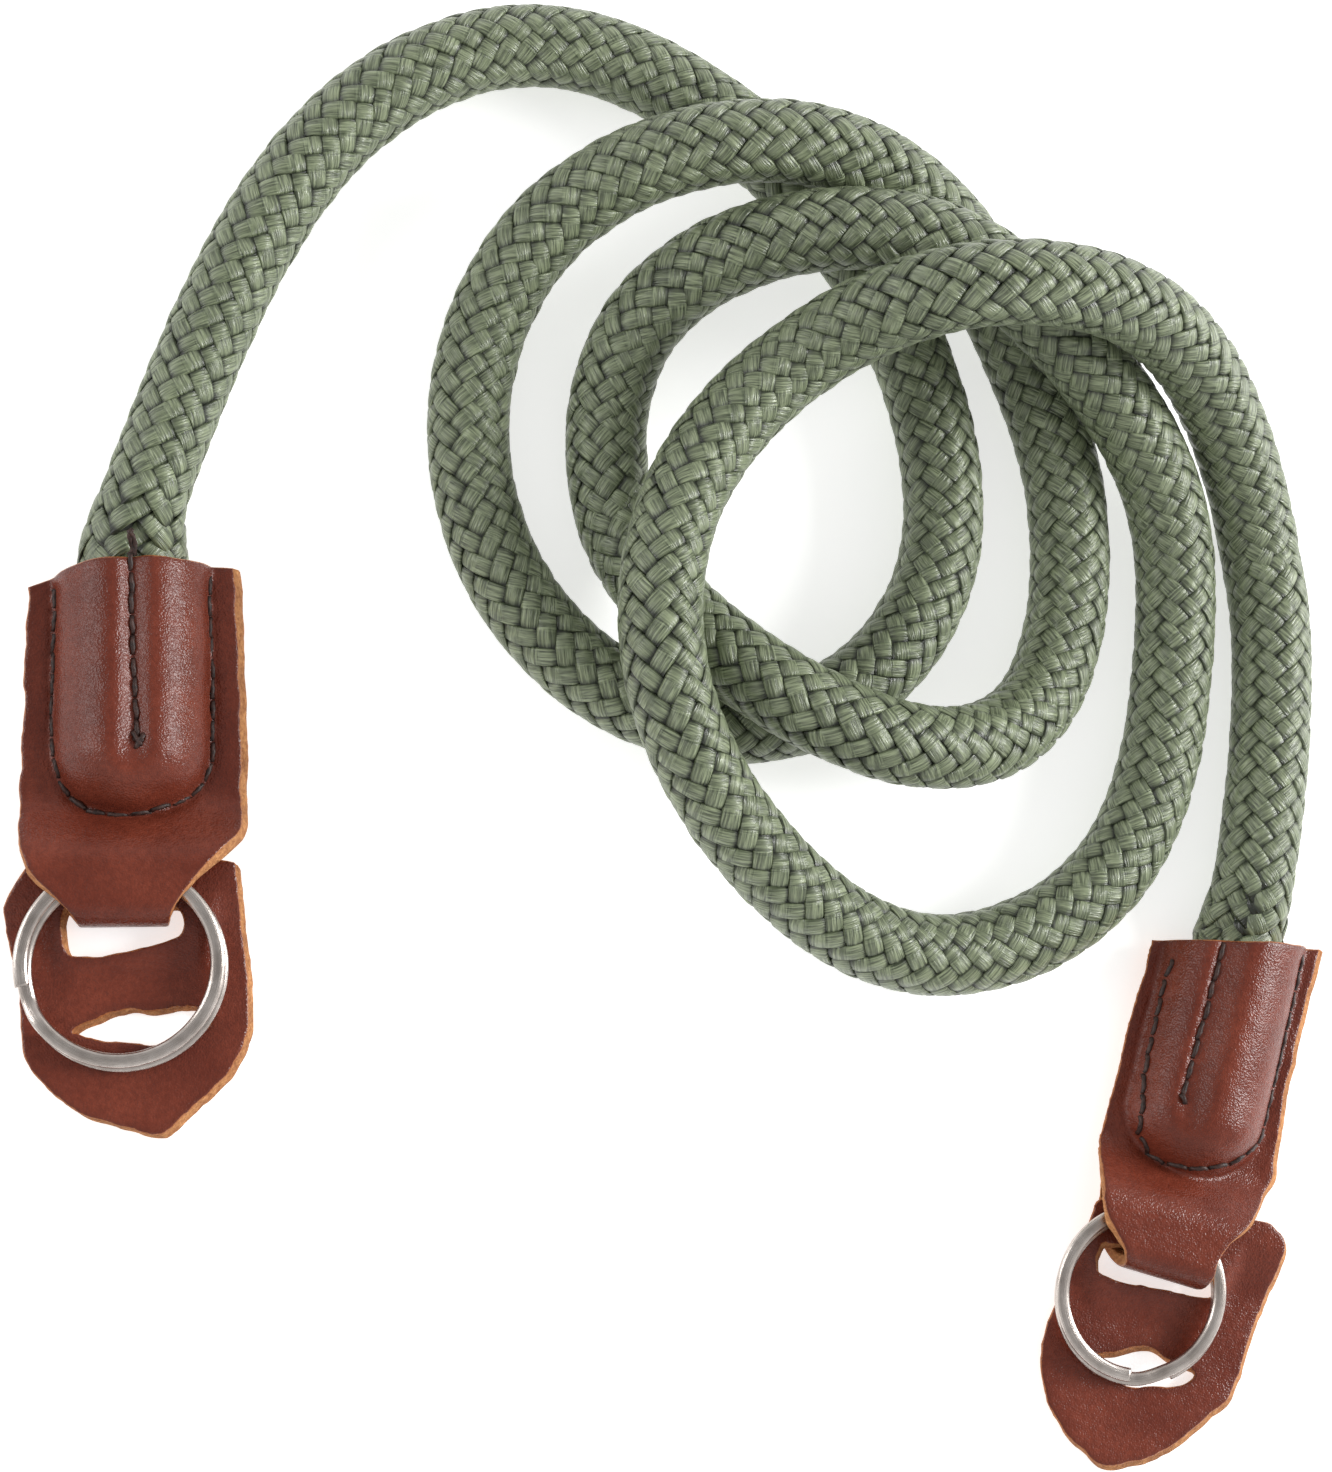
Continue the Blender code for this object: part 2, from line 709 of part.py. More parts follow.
def main():
    for old in list(bpy.data.objects):
        bpy.data.objects.remove(old, do_unlink=True)
    green = material("rope_green", (0.13, 0.19, 0.10), 0.55, 0.0)
    brown = material("leather_brown", (0.17, 0.04, 0.02), 0.45, 0.0)
    steel = material("ring_steel", (0.55, 0.53, 0.50), 0.35, 1.0)

    points = rope_points()
    add_rope(points, green)
    starts = {
        "left": (points[0], (points[1] - points[0]).normalized()),
        "right": (points[-1], (points[-2] - points[-1]).normalized()),
    }
    for end in (END_LEFT, END_RIGHT):
        frame = add_frame(end)
        bpy.context.view_layer.update()
        add_tab(end, frame, brown)
        add_rope_end(end, frame, green, *starts[end["name"]])
        add_pad(end, frame, brown)
        add_ring(end, frame, steel)


main()
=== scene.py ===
"""Looks of the camera strap: braided rope, folded leather tabs, guard pads and split rings.

Lengths are millimetres until a mesh is made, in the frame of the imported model. Each end is
worked in its own frame: across the tab, down from its mouth towards its ring, and up.
"""

import math

import bmesh
import bpy
import numpy as np
from mathutils import Matrix, Vector, geometry


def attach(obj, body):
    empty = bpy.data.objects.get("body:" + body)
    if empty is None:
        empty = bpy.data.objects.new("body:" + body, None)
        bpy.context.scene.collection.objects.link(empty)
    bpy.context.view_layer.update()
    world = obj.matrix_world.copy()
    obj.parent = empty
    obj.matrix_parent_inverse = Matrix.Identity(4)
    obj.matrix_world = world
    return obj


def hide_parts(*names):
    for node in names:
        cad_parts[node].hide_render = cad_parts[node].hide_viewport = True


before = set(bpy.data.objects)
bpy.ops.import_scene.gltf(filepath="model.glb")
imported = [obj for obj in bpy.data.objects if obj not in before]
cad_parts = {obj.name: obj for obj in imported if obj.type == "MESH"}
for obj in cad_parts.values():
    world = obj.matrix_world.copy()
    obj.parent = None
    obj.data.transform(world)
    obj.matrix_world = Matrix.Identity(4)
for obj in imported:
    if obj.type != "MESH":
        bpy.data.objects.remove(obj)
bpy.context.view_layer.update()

MM = 0.001
TINY = 1e-6

# Camera
CAMERA_TARGET = (-4.4, 34.1, 5.0)
CAMERA_DISTANCE = 312.5
CAMERA_TILT = 14.0
CAMERA_HEADING = -143.5
FOCAL_PIXELS = 2600.0
IMAGE_HEIGHT = 1472.0
SENSOR = 36.0

# Rope
ROPE_LOWEST_CENTRE = 5.1
POCKET_REACH = 20.0
POCKET_CENTRE = 5.0
STRAIGHT_REACH = 6.0
FLATTENING = 9.0
LEAD = 30.5
STRANDS_PER_HAND = 10
COLUMN_PHASE = 9.0
SAMPLES_PER_PERIOD = 16
MIDDLE_RADIUS = 4.50
WEAVE_RISE = 0.28
WEAVE_SQUARENESS = 2.2
STRAND_HALF_WIDTH = 1.20
CORE_SINK = 0.6
CORE_SIDES = 24
CORE_STEP = 4
# The sewn end in its pocket: gaps to the leather above and below, how high it is widest,
# how square its sides, top and underside are, and how much of the weave's rise it loses
END_TOP_GAP = 0.75
END_LOW_GAP = 0.6
END_WIDEST = 0.42
END_SIDE_POWER = 0.85
END_TOP_POWER = 0.8
END_LOW_POWER = 0.7
END_LIFT_LOSS = 0.3

# Leather tab
TAB_LEATHER = 1.5
TAB_LENGTH = 42.4
FOLD_REACH = 2.6
POCKET_WIDTH = 15.6
POCKET_DEPTH = 28.1
POCKET_HEIGHT = 7.0
POCKET_ROUND = 7.3
POCKET_FULLNESS = 0.68
SEAM_SPREAD = 1.2
SEAM_BAND = 0.8
GROOVE_LENGTH = 21.4
GROOVE_FADE = 5.0
GROOVE_DEPTH = 1.35
GROOVE_WIDTH = 1.7
EYE_HEIGHT = 4.9
EYE_LEAD = 0.9
FOLD_CENTRE = TAB_LENGTH - FOLD_REACH
EYE_START = POCKET_DEPTH + SEAM_SPREAD + SEAM_BAND
EYE_RISE = 0.464 * (FOLD_CENTRE - EYE_START)
NECK_START = 27.0
NECK_RISE = 10.0
STRIP_DEPTH = FOLD_CENTRE - EYE_START - EYE_RISE
STITCH_PITCH = 2.5
THREAD_RADIUS = 0.31

# Guard pad
PAD_LEATHER = 1.5
PAD_LIFT = 1.8
PAD_LENGTH = 31.6
PAD_WIDTH = 26.2
STRIP_SHARE = 0.1646
PAD_SAG_START = 1.5
PAD_SAG_LENGTH = 7.5
PAD_SIDE_SAG = 4.5
PAD_SIDE_START = 7.5
PAD_SIDE_LENGTH = 3.5

# Split ring
WIRE_WIDTH = 1.7
WIRE_HEIGHT = 1.05
TURN_GAP = 0.1
RING_HEIGHT = 2 * WIRE_HEIGHT + TURN_GAP
RING_CLEARANCE = 0.3
RING_LEAN_ROOM = 0.3
JOGGLE_ANGLE = 24.0
JOGGLE_SPARE = 3.0

# The two ends, cut by hand and so not quite alike. Tables hold shares of the named sizes, but
# stitches, tails and knot are millimetres across and down, and up for the tails.
END_LEFT = {
    "name": "left", "seed": 11, "place": (-67.8, 52.7), "turn": 1.4, "tab_width": 24.6,
    "back_spread": 0.5, "back_tuck": 0.8, "lean": 0.75, "neck_lean": 0.0,
    "groove_side": 0.2, "rope_half_width": 6.0,
    "ring_diameter": 23.8, "ring_seat": 0.0, "ring_side": -1.2, "ring_turn": 195.6,
    "pad_turn": 0.0, "pad_seat": 0.0,
    "tab_sides": (
        (0.0, -0.95, 0.96), (0.15, -0.98, 0.98), (0.37, -0.99, 1.01), (0.55, -1.01, 1.02),
        (0.74, -1.03, 1.02), (0.8, -0.99, 0.82), (0.86, -0.9, 0.62), (0.94, -0.63, 0.41),
        (1.0, -0.46, 0.36),
    ),
    "mouth": ((-1.0, 0.071), (-0.66, 0.028), (-0.3, 0.007), (0.0, 0.0), (1.0, 0.0)),
    "side_stitches": (
        (-8.8, 3.0), (-8.9, 9.0), (-9.0, 16.0), (-8.9, 21.0), (-8.3, 24.7), (-6.3, 28.0),
        (-2.9, 29.4), (2.2, 29.0), (6.7, 27.3), (8.8, 24.7), (9.3, 20.0), (9.3, 15.9),
        (9.0, 8.0), (8.8, 1.0),
    ),
    "middle_stitches": ((-0.2, -0.6), (0.1, 9.8), (0.7, 21.4)),
    "tails": (
        ((-0.2, -0.2, 8.2), (0.0, -1.1, 8.6), (-0.3, -2.0, 9.4), (0.0, -2.9, 10.0)),
        ((0.2, -0.2, 8.2), (0.3, -1.3, 8.8), (0.0, -2.2, 9.6), (-0.4, -2.6, 10.2)),
    ),
    "knot": (((0.0, 20.3), (1.2, 22.1)), ((1.5, 20.6), (0.4, 22.4)), ((0.2, 21.2), (1.4, 21.4))),
    "pad_sides": (
        (0.0, -0.86, 0.92), (0.066, -0.97, 0.93), (0.161, -1.09, 0.95), (0.278, -1.05, 0.97),
        (0.481, -0.95, 1.03), (0.623, -0.93, 1.04), (0.709, -0.9, 0.95), (0.794, -0.76, 0.82),
        (0.864, -0.6, 0.64), (0.924, -0.36, 0.47), (0.978, 0.05, 0.35), (1.0, 0.18, 0.27),
    ),
    "slots": (
        (
            (-0.6, 0.24), (-0.57, 0.33), (-0.5, 0.345), (-0.27, 0.35), (0.0, 0.325),
            (0.34, 0.295), (0.45, 0.275), (0.46, 0.22), (0.41, 0.17), (-0.58, 0.17),
        ),
        (
            (-0.54, 0.615), (-0.3, 0.576), (-0.05, 0.541), (0.04, 0.535), (0.14, 0.551),
            (0.38, 0.535), (0.5, 0.529), (0.66, 0.548), (0.72, 0.59), (0.68, 0.612),
            (0.59, 0.633), (0.42, 0.655), (0.24, 0.674), (-0.26, 0.652), (-0.47, 0.627),
        ),
    ),
}
END_RIGHT = {
    "name": "right", "seed": 23, "place": (68.7, 10.1), "turn": -16.3, "tab_width": 22.6,
    "back_spread": 0.7, "back_tuck": 2.0, "lean": 1.05, "neck_lean": 1.0,
    "groove_side": -3.0, "rope_half_width": 5.3,
    "ring_diameter": 21.6, "ring_seat": -0.8, "ring_side": -1.8, "ring_turn": 281.0,
    "pad_turn": 8.0, "pad_seat": -0.8,
    "tab_sides": (
        (0.0, -0.95, 0.97), (0.15, -0.96, 0.95), (0.37, -0.97, 0.95), (0.55, -0.97, 1.0),
        (0.64, -0.98, 1.05), (0.74, -0.99, 0.86), (0.85, -0.92, 0.57), (0.9, -0.78, 0.49),
        (0.94, -0.6, 0.48), (1.0, -0.43, 0.48),
    ),
    "mouth": ((-1.0, 0.066), (0.0, 0.0), (1.0, -0.066)),
    "side_stitches": (
        (-8.3, 4.4), (-8.4, 12.1), (-8.2, 19.2), (-7.4, 24.3), (-6.0, 27.5), (-2.8, 28.8),
        (2.1, 28.0), (5.8, 25.8), (8.0, 23.2), (8.6, 17.9), (8.5, 14.3), (8.3, 8.9),
        (8.1, 3.4), (7.8, -1.2),
    ),
    "middle_stitches": ((-3.6, 0.9), (-3.8, 13.1), (-4.0, 21.2)),
    "tails": (),
    "knot": (((-4.4, 20.6), (-3.5, 21.6)),),
    "pad_sides": (
        (0.0, -0.68, 1.05), (0.06, -0.72, 1.22), (0.18, -0.78, 1.19), (0.3, -0.84, 1.11),
        (0.48, -0.97, 0.99), (0.58, -1.02, 0.95), (0.69, -0.99, 0.87), (0.79, -0.9, 0.62),
        (0.9, -0.69, 0.34), (0.96, -0.48, 0.1), (1.0, -0.36, -0.22),
    ),
    "slots": (
        (
            (-0.63, 0.22), (-0.6, 0.28), (-0.36, 0.305), (0.0, 0.31), (0.34, 0.322),
            (0.55, 0.318), (0.6, 0.28), (0.59, 0.2), (0.5, 0.165), (-0.6, 0.165),
        ),
        (
            (-0.52, 0.655), (-0.5, 0.592), (-0.34, 0.582), (-0.11, 0.544), (0.04, 0.538),
            (0.15, 0.563), (0.3, 0.588), (0.47, 0.595), (0.53, 0.623), (0.43, 0.661),
            (0.18, 0.677), (-0.09, 0.696), (-0.24, 0.677),
        ),
    ),
}

# Rope route, points chosen along the middle of the lying rope, left tab to right tab
ROPE_ROUTE_MM = (
    (-66.5, 61.1, 5.1), (-56.1, 89.3, 5.1), (-41.4, 110.6, 5.1), (-20.3, 119.9, 5.1),
    (1.6, 112.9, 5.1), (18.1, 98.3, 5.1), (28.8, 77.1, 5.1), (29.5, 55.2, 5.1), (17.6, 39.7, 5.1),
    (-2.4, 36.5, 5.1), (-19.4, 46.4, 5.1), (-28.7, 70.1, 5.1), (-20.7, 94.1, 9.0),
    (-3.9, 103.8, 15.4), (14.1, 105.0, 15.8), (30.6, 98.4, 9.6), (42.2, 81.9, 5.1), (47.2, 59.1, 5.1),
    (40.1, 37.6, 8.0), (20.9, 32.7, 15.9), (2.4, 42.1, 13.4), (-10.6, 60.6, 5.1), (-8.5, 83.5, 8.0),
    (8.6, 94.0, 15.6), (28.1, 92.6, 18.8), (45.6, 81.1, 15.5), (58.6, 65.1, 8.4), (60.2, 43.1, 5.1),
    (49.4, 16.5, 5.1), (29.9, 8.2, 5.5), (6.7, 17.8, 12.8), (-7.0, 38.1, 19.6), (-5.3, 59.6, 18.0),
    (9.6, 78.2, 18.5), (25.5, 84.4, 28.4), (43.6, 85.2, 27.4), (62.1, 78.3, 15.2), (72.6, 59.6, 5.3),
    (73.4, 38.6, 5.1), (70.4, 18.3, 5.2),
)


# Small helpers


def ease(share):
    """Ease from 0 to 1, for numbers or arrays."""
    share = np.clip(share, 0.0, 1.0)
    return share * share * (3.0 - 2.0 * share)


def ramp(value, start, length):
    """Ease from 0 to 1 over a length from a start."""
    return ease((value - start) / length)


def read(table, share, column):
    """One column of a table of shares, read between its rows."""
    rows = np.array(table)
    return np.interp(share, rows[:, 0], rows[:, column])


def ripple(x, y, size, seed):
    """Smooth wandering values between -1 and 1, with bumps about one size apart."""
    cells = 64
    table = np.random.default_rng(seed).uniform(-1.0, 1.0, (cells, cells))
    x, y = np.broadcast_arrays(np.asarray(x, float) / size, np.asarray(y, float) / size)
    i, j = np.floor(x).astype(int), np.floor(y).astype(int)
    u, v = ease(x - i), ease(y - j)

    def row(k):
        return table[i % cells, k % cells] * (1 - u) + table[(i + 1) % cells, k % cells] * u

    return row(j) * (1 - v) + row(j + 1) * v


def ragged(along, starts, waves, seed):
    """A hand-cut edge: waves of a size and a length, each read from its own start."""
    parts = zip(waves, starts)
    return sum(size * ripple(along, start, length, seed) for (size, length), start in parts)


def curve_through(points, count):
    """Evenly spaced points on a natural cubic curve through the given points."""
    knots = np.array(points, float)
    chords = np.linalg.norm(np.diff(knots, axis=0), axis=1)
    along = np.concatenate([[0.0], np.cumsum(chords)])
    size = len(knots)
    inner = np.arange(1, size - 1)
    matrix = np.eye(size)
    matrix[inner, inner - 1] = chords[:-1]
    matrix[inner, inner] = 2.0 * (chords[:-1] + chords[1:])
    matrix[inner, inner + 1] = chords[1:]
    wanted = np.zeros(knots.shape)
    wanted[1:-1] = 6.0 * np.diff(np.diff(knots, axis=0) / chords[:, None], axis=0)
    bend = np.linalg.solve(matrix, wanted)
    places = np.linspace(0.0, along[-1], count)
    span = np.clip(np.searchsorted(along, places, side="right") - 1, 0, size - 2)
    length = chords[span][:, None]
    start = ((along[span + 1] - places) / chords[span])[:, None]
    stop = 1.0 - start
    result = start * knots[span] + stop * knots[span + 1]
    result += ((start**3 - start) * bend[span] + (stop**3 - stop) * bend[span + 1]) * length**2 / 6
    return result


def distances(points):
    """How far along a line each of its points is."""
    steps = np.linalg.norm(np.diff(points, axis=0), axis=1)
    return np.concatenate([[0.0], np.cumsum(steps)])


def resample(points, count):
    """The same line with its points at equal distances, and those distances."""
    along = distances(points)
    wanted = np.linspace(0.0, along[-1], count)
    return np.stack([np.interp(wanted, along, column) for column in points.T], axis=1), wanted


def line_length(points):
    """Length of a line of points."""
    return float(np.linalg.norm(np.diff(points, axis=0), axis=1).sum())


def unit(vectors):
    """Rows of vectors, each made one long."""
    return vectors / np.maximum(np.linalg.norm(vectors, axis=1), TINY)[:, None]


def squared_off(wave, power):
    """A sine or cosine made squarer, with its sign kept."""
    return np.sign(wave) * np.abs(wave) ** power


def distance_to_line(x, y, line):
    """Shortest distance from points to a line of straight runs, in the plane."""
    least = np.full(np.shape(x), 99.0)
    for (ax, ay), (bx, by) in zip(line[:-1], line[1:]):
        dx, dy = bx - ax, by - ay
        share = np.clip(((x - ax) * dx + (y - ay) * dy) / (dx * dx + dy * dy), 0.0, 1.0)
        least = np.minimum(least, np.hypot(x - ax - share * dx, y - ay - share * dy))
    return least


def to_frame(end, points):
    """Points across, down and up in an end's own frame, in the model's frame."""
    turn = math.radians(end["turn"])
    points = np.asarray(points, float)
    across, forward, up = points[..., 0], -points[..., 1], points[..., 2]
    x = end["place"][0] + across * math.cos(turn) - forward * math.sin(turn)
    y = end["place"][1] + across * math.sin(turn) + forward * math.cos(turn)
    return np.stack([x, y, up], axis=-1)


def stack(first, second, third):
    """Points or other threes from three sets of numbers."""
    return np.stack(np.broadcast_arrays(first, second, third), axis=-1).astype(float)


def joined(parts):
    """Points and faces of several bodies taken as one."""
    points, faces, first = [], [], 0
    for body, sides in parts:
        points.append(body)
        faces += [[corner + first for corner in side] for side in sides]
        first += len(body)
    return np.concatenate(points), faces


def add_mesh(name, points, faces, looks, replaced=()):
    """One closed piece that rides on the part, from points in millimetres."""
    mesh = bpy.data.meshes.new(name)
    mesh.from_pydata((np.asarray(points) * MM).tolist(), [], faces)
    body = bmesh.new()
    body.from_mesh(mesh)
    bmesh.ops.recalc_face_normals(body, faces=body.faces)
    body.to_mesh(mesh)
    body.free()
    mesh.shade_smooth()
    for look in looks:
        mesh.materials.append(look)
    piece = bpy.data.objects.new(name, mesh)
    bpy.context.scene.collection.objects.link(piece)
    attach(piece, "root")
    if replaced:
        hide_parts(*replaced)
    return piece


def keep(piece, name, values, kind="FLOAT_VECTOR", field="vector"):
    """Numbers kept with the points of a piece, for its material to read."""
    made = piece.data.attributes.new(name, kind, "POINT")
    made.data.foreach_set(field, np.asarray(values, np.float32).ravel())


# Materials

# Pairs run from dark to light
YARN = ((0.030, 0.044, 0.017), (0.330, 0.385, 0.230))
YARN_FADED = (0.105, 0.132, 0.068)
# Painted highlight laid across the middle of each float
YARN_PAINTED_HIGHLIGHT = (0.330, 0.375, 0.235)
# Painted shade where a strand dives under the others and along its edges
YARN_PAINTED_SHADE = (0.010, 0.015, 0.006)
YARN_SHEEN = (0.85, 0.95, 0.75)
# The core is painted very dark, as painted shade deep in the gaps between the strands
CORE = ((0.016, 0.021, 0.010), (0.040, 0.050, 0.024))
LEATHER = ((0.156, 0.0285, 0.0145), (0.243, 0.051, 0.027))
LEATHER_SPECK = (0.090, 0.015, 0.008)
LEATHER_HANDLED = (0.075, 0.020, 0.013)
LEATHER_WORN = (0.40, 0.140, 0.050)
RAW = ((0.32, 0.115, 0.042), (0.72, 0.35, 0.140))
RAW_STAINED = (0.17, 0.050, 0.022)
THREAD = ((0.018, 0.008, 0.006), (0.062, 0.026, 0.019))
METAL = ((0.50, 0.44, 0.40), (0.78, 0.71, 0.66))
METAL_SCRATCH = (0.22, 0.18, 0.155)
PAPER = ((0.89, 0.89, 0.89), (0.91, 0.91, 0.91))
WHITE = (1.0, 1.0, 1.0)


def new_look(name):
    """A material with its nodes and its surface shader."""
    made = bpy.data.materials.new(name)
    made.use_nodes = True
    tree = made.node_tree
    return made, tree, tree.nodes["Principled BSDF"]


def feed(tree, socket, value):
    """Link a socket to another node's output, or set it to a value."""
    if isinstance(value, bpy.types.NodeSocket):
        tree.links.new(value, socket)
    elif socket.type == "RGBA":
        socket.default_value = (*value, 1.0)
    else:
        socket.default_value = value


def set_sockets(tree, node, **sockets):
    """Feed the named sockets of a node."""
    for key, value in sockets.items():
        feed(tree, node.inputs[key.replace("_", " ")], value)


def add_node(tree, kind, settings=None, **sockets):
    """A node with its settings made and its sockets fed."""
    made = tree.nodes.new(kind)
    for key, value in (settings or {}).items():
        setattr(made, key, value)
    set_sockets(tree, made, **sockets)
    return made


def place_of(tree):
    """Where a point of the piece lies, in metres."""
    return add_node(tree, "ShaderNodeTexCoord").outputs["Object"]


def stored(tree, name, output="Vector"):
    """What was kept with the points of the piece."""
    return add_node(tree, "ShaderNodeAttribute", {"attribute_name": name}).outputs[output]


def mix(tree, share, first, second):
    """A mix of two colours."""
    made = add_node(tree, "ShaderNodeMix", {"data_type": "RGBA"})
    for index, value in ((0, share), (6, first), (7, second)):
        feed(tree, made.inputs[index], value)
    return made.outputs[2]


def fit(tree, value, low, high, to_low=0.0, to_high=1.0):
    """A value moved from one range to another, and kept inside it."""
    return add_node(
        tree, "ShaderNodeMapRange", {"clamp": True},
        Value=value, From_Min=low, From_Max=high, To_Min=to_low, To_Max=to_high,
    ).outputs["Result"]


def two_nodes(tree, operation, first, second):
    """Two values taken together by one operation."""
    made = add_node(tree, "ShaderNodeMath", {"operation": operation})
    tree.links.new(first, made.inputs[0])
    tree.links.new(second, made.inputs[1])
    return made.outputs[0]


def noise_of(tree, vector, scale, detail=2.0, roughness=0.5):
    """Soft noise; its scale counts the waves in a metre or in the vector's own unit."""
    made = add_node(
        tree, "ShaderNodeTexNoise", None,
        Vector=vector, Scale=scale, Detail=detail, Roughness=roughness,
    )
    return made.outputs["Fac"]


def bump_of(tree, height, distance, strength=1.0, below=None):
    """A bump, on top of another where one is given."""
    sockets = {"Height": height, "Distance": distance, "Strength": strength}
    if below is not None:
        sockets["Normal"] = below
    return add_node(tree, "ShaderNodeBump", None, **sockets).outputs["Normal"]


def stretched(tree, vector, scale):
    """A vector scaled in each direction."""
    made = add_node(tree, "ShaderNodeMapping", None, Vector=vector, Scale=scale)
    return made.outputs["Vector"]


def yarn_look():
    """Silky green filament yarn: fine streaks that turn in each half of a float, painted shade where
    strands dive and at their edges, and a painted highlight in the middle of each float.
    """
    made, tree, shader = new_look("rope_yarn")
    yarn = stored(tree, "yarn")
    lie = add_node(tree, "ShaderNodeSeparateXYZ", None, Vector=stored(tree, "lie")).outputs
    along = noise_of(tree, stretched(tree, yarn, (0.30, 5.2, 3.0)), 1.0, 2.0, 0.65)
    across = noise_of(tree, stretched(tree, yarn, (4.4, 0.40, 3.0)), 1.0, 2.0, 0.65)
    fine = mix(tree, lie["Y"], along, across)
    broad = noise_of(tree, stretched(tree, yarn, (0.45, 1.0, 5.0)), 1.0)
    colour = mix(tree, fit(tree, fine, 0.40, 0.62), *YARN)
    colour = mix(tree, fit(tree, broad, 0.35, 0.7, 0.0, 0.5), colour, YARN_FADED)
    # Painted highlight in the middle of each float, from the third number kept with the strand
    colour = mix(tree, fit(tree, lie["Z"], 0.1, 0.9, 0.0, 0.28), colour, YARN_PAINTED_HIGHLIGHT)
    # Painted shade where strands dive and at their edges, from the first number kept with the strand
    colour = mix(tree, fit(tree, lie["X"], -0.04, 0.66), YARN_PAINTED_SHADE, colour)
    set_sockets(
        tree, shader, Base_Color=colour, Roughness=fit(tree, fine, 0.34, 0.66, 0.42, 0.30),
        Specular_IOR_Level=0.75, Sheen_Weight=0.07, Sheen_Roughness=0.4, Sheen_Tint=YARN_SHEEN,
        Normal=bump_of(tree, fine, 0.00026),
    )
    return made


def core_look():
    """The inside of the rope between its strands, painted dark as the shade in the gaps."""
    made, tree, shader = new_look("rope_core")
    grain = noise_of(tree, place_of(tree), 900.0)
    colour = mix(tree, grain, *CORE)
    normal = bump_of(tree, grain, 0.0002, 0.6)
    set_sockets(tree, shader, Base_Color=colour, Roughness=0.8, Normal=normal)
    return made


def grain_colour(tree, place):
    """Reddish brown leather, mottled, with a darker pebble between its pores."""
    cloud = noise_of(tree, place, 130.0, 3.0, 0.55)
    speck = noise_of(tree, place, 1500.0, 2.0, 0.6)
    colour = mix(tree, fit(tree, cloud, 0.3, 0.72), *LEATHER)
    return mix(tree, fit(tree, speck, 0.38, 0.62, 0.0, 0.35), colour, LEATHER_SPECK)


def grain_bump(tree, place):
    """Fine pebble over creases over slack, and the creases by themselves."""
    pebble = add_node(
        tree, "ShaderNodeTexVoronoi", {"feature": "SMOOTH_F1"},
        Vector=place, Scale=4300.0, Smoothness=0.6,
    ).outputs["Distance"]
    crease = noise_of(tree, place, 800.0, 3.0, 0.6)
    slack = noise_of(tree, place, 90.0, 2.0)
    normal = bump_of(tree, slack, 0.0016, 0.35)
    normal = bump_of(tree, crease, 0.00022, 0.5, normal)
    return bump_of(tree, pebble, 0.00010, 0.65, normal), crease


def leather_look():
    """The finished face of the leather, worn to raw orange at its cut rim."""
    made, tree, shader = new_look("leather_face")
    place = place_of(tree)
    rim = stored(tree, "rim", "Fac")
    normal, crease = grain_bump(tree, place)
    chips = noise_of(tree, place, 900.0, 3.0, 0.65)
    worn = two_nodes(tree, "SUBTRACT", fit(tree, rim, 0.05, 0.34, 0.75, 0.0), chips)
    handled = fit(tree, rim, 0.0, 1.4, 0.45, 0.0)
    colour = mix(tree, handled, grain_colour(tree, place), LEATHER_HANDLED)
    colour = mix(tree, fit(tree, worn, 0.0, 0.12), colour, LEATHER_WORN)
    set_sockets(
        tree, shader, Base_Color=colour, Roughness=fit(tree, crease, 0.3, 0.7, 0.22, 0.31),
        Specular_IOR_Level=0.30, Coat_Weight=0.06, Coat_Roughness=0.20, Normal=normal,
    )
    return made


def raw_look():
    """Cut edges and flesh side: orange, fibrous and matt."""
    made, tree, shader = new_look("leather_raw")
    place = place_of(tree)
    fibre = noise_of(tree, place, 1700.0, 4.0, 0.7)
    patch = noise_of(tree, place, 260.0)
    colour = mix(tree, fit(tree, fibre, 0.32, 0.68), *RAW)
    colour = mix(tree, fit(tree, patch, 0.40, 0.75, 0.0, 0.55), colour, RAW_STAINED)
    set_sockets(
        tree, shader, Base_Color=colour, Roughness=0.85, Specular_IOR_Level=0.25,
        Normal=bump_of(tree, fibre, 0.00035, 0.9),
    )
    return made


def thread_look():
    """Dark brown waxed thread."""
    made, tree, shader = new_look("sewing_thread")
    ply = noise_of(tree, place_of(tree), 2200.0)
    colour = mix(tree, fit(tree, ply, 0.35, 0.65), *THREAD)
    normal = bump_of(tree, ply, 0.00015, 0.6)
    set_sockets(tree, shader, Base_Color=colour, Roughness=0.55, Normal=normal)
    return made


def metal_look():
    """Nickel-plated wire, lightly brushed and handled."""
    made, tree, shader = new_look("ring_metal")
    along_wire = stretched(tree, stored(tree, "wire"), (0.35, 9.0, 9.0))
    scratch = noise_of(tree, along_wire, 1.0, 3.0, 0.6)
    haze = noise_of(tree, place_of(tree), 240.0, 3.0, 0.6)
    colour = mix(tree, fit(tree, haze, 0.35, 0.7), *METAL)
    colour = mix(tree, fit(tree, scratch, 0.55, 0.75, 0.0, 0.5), colour, METAL_SCRATCH)
    set_sockets(
        tree, shader, Base_Color=colour, Roughness=fit(tree, scratch, 0.3, 0.7, 0.20, 0.38),
        Metallic=1.0, Normal=bump_of(tree, scratch, 0.00006, 0.5),
    )
    return made


# Rope


def pocket_line(end, meeting, heading):
    """The rope's middle from deep in the pocket out to where the free route begins."""
    downs = np.linspace(POCKET_REACH, STRAIGHT_REACH, 30)
    straight = to_frame(end, [(0.0, down, POCKET_CENTRE) for down in downs])
    start = straight[-1]
    leaving = straight[-1] - straight[-2]
    gap = np.linalg.norm(meeting - start)
    leaving *= gap / np.linalg.norm(leaving)
    arriving = heading * gap / np.linalg.norm(heading)
    share = np.linspace(0.0, 1.0, 40)[1:-1, None]
    bend = (2 * share**3 - 3 * share**2 + 1) * start + (share**3 - 2 * share**2 + share) * leaving
    bend += (3 * share**2 - 2 * share**3) * meeting + (share**3 - share**2) * arriving
    return np.concatenate([straight, bend])


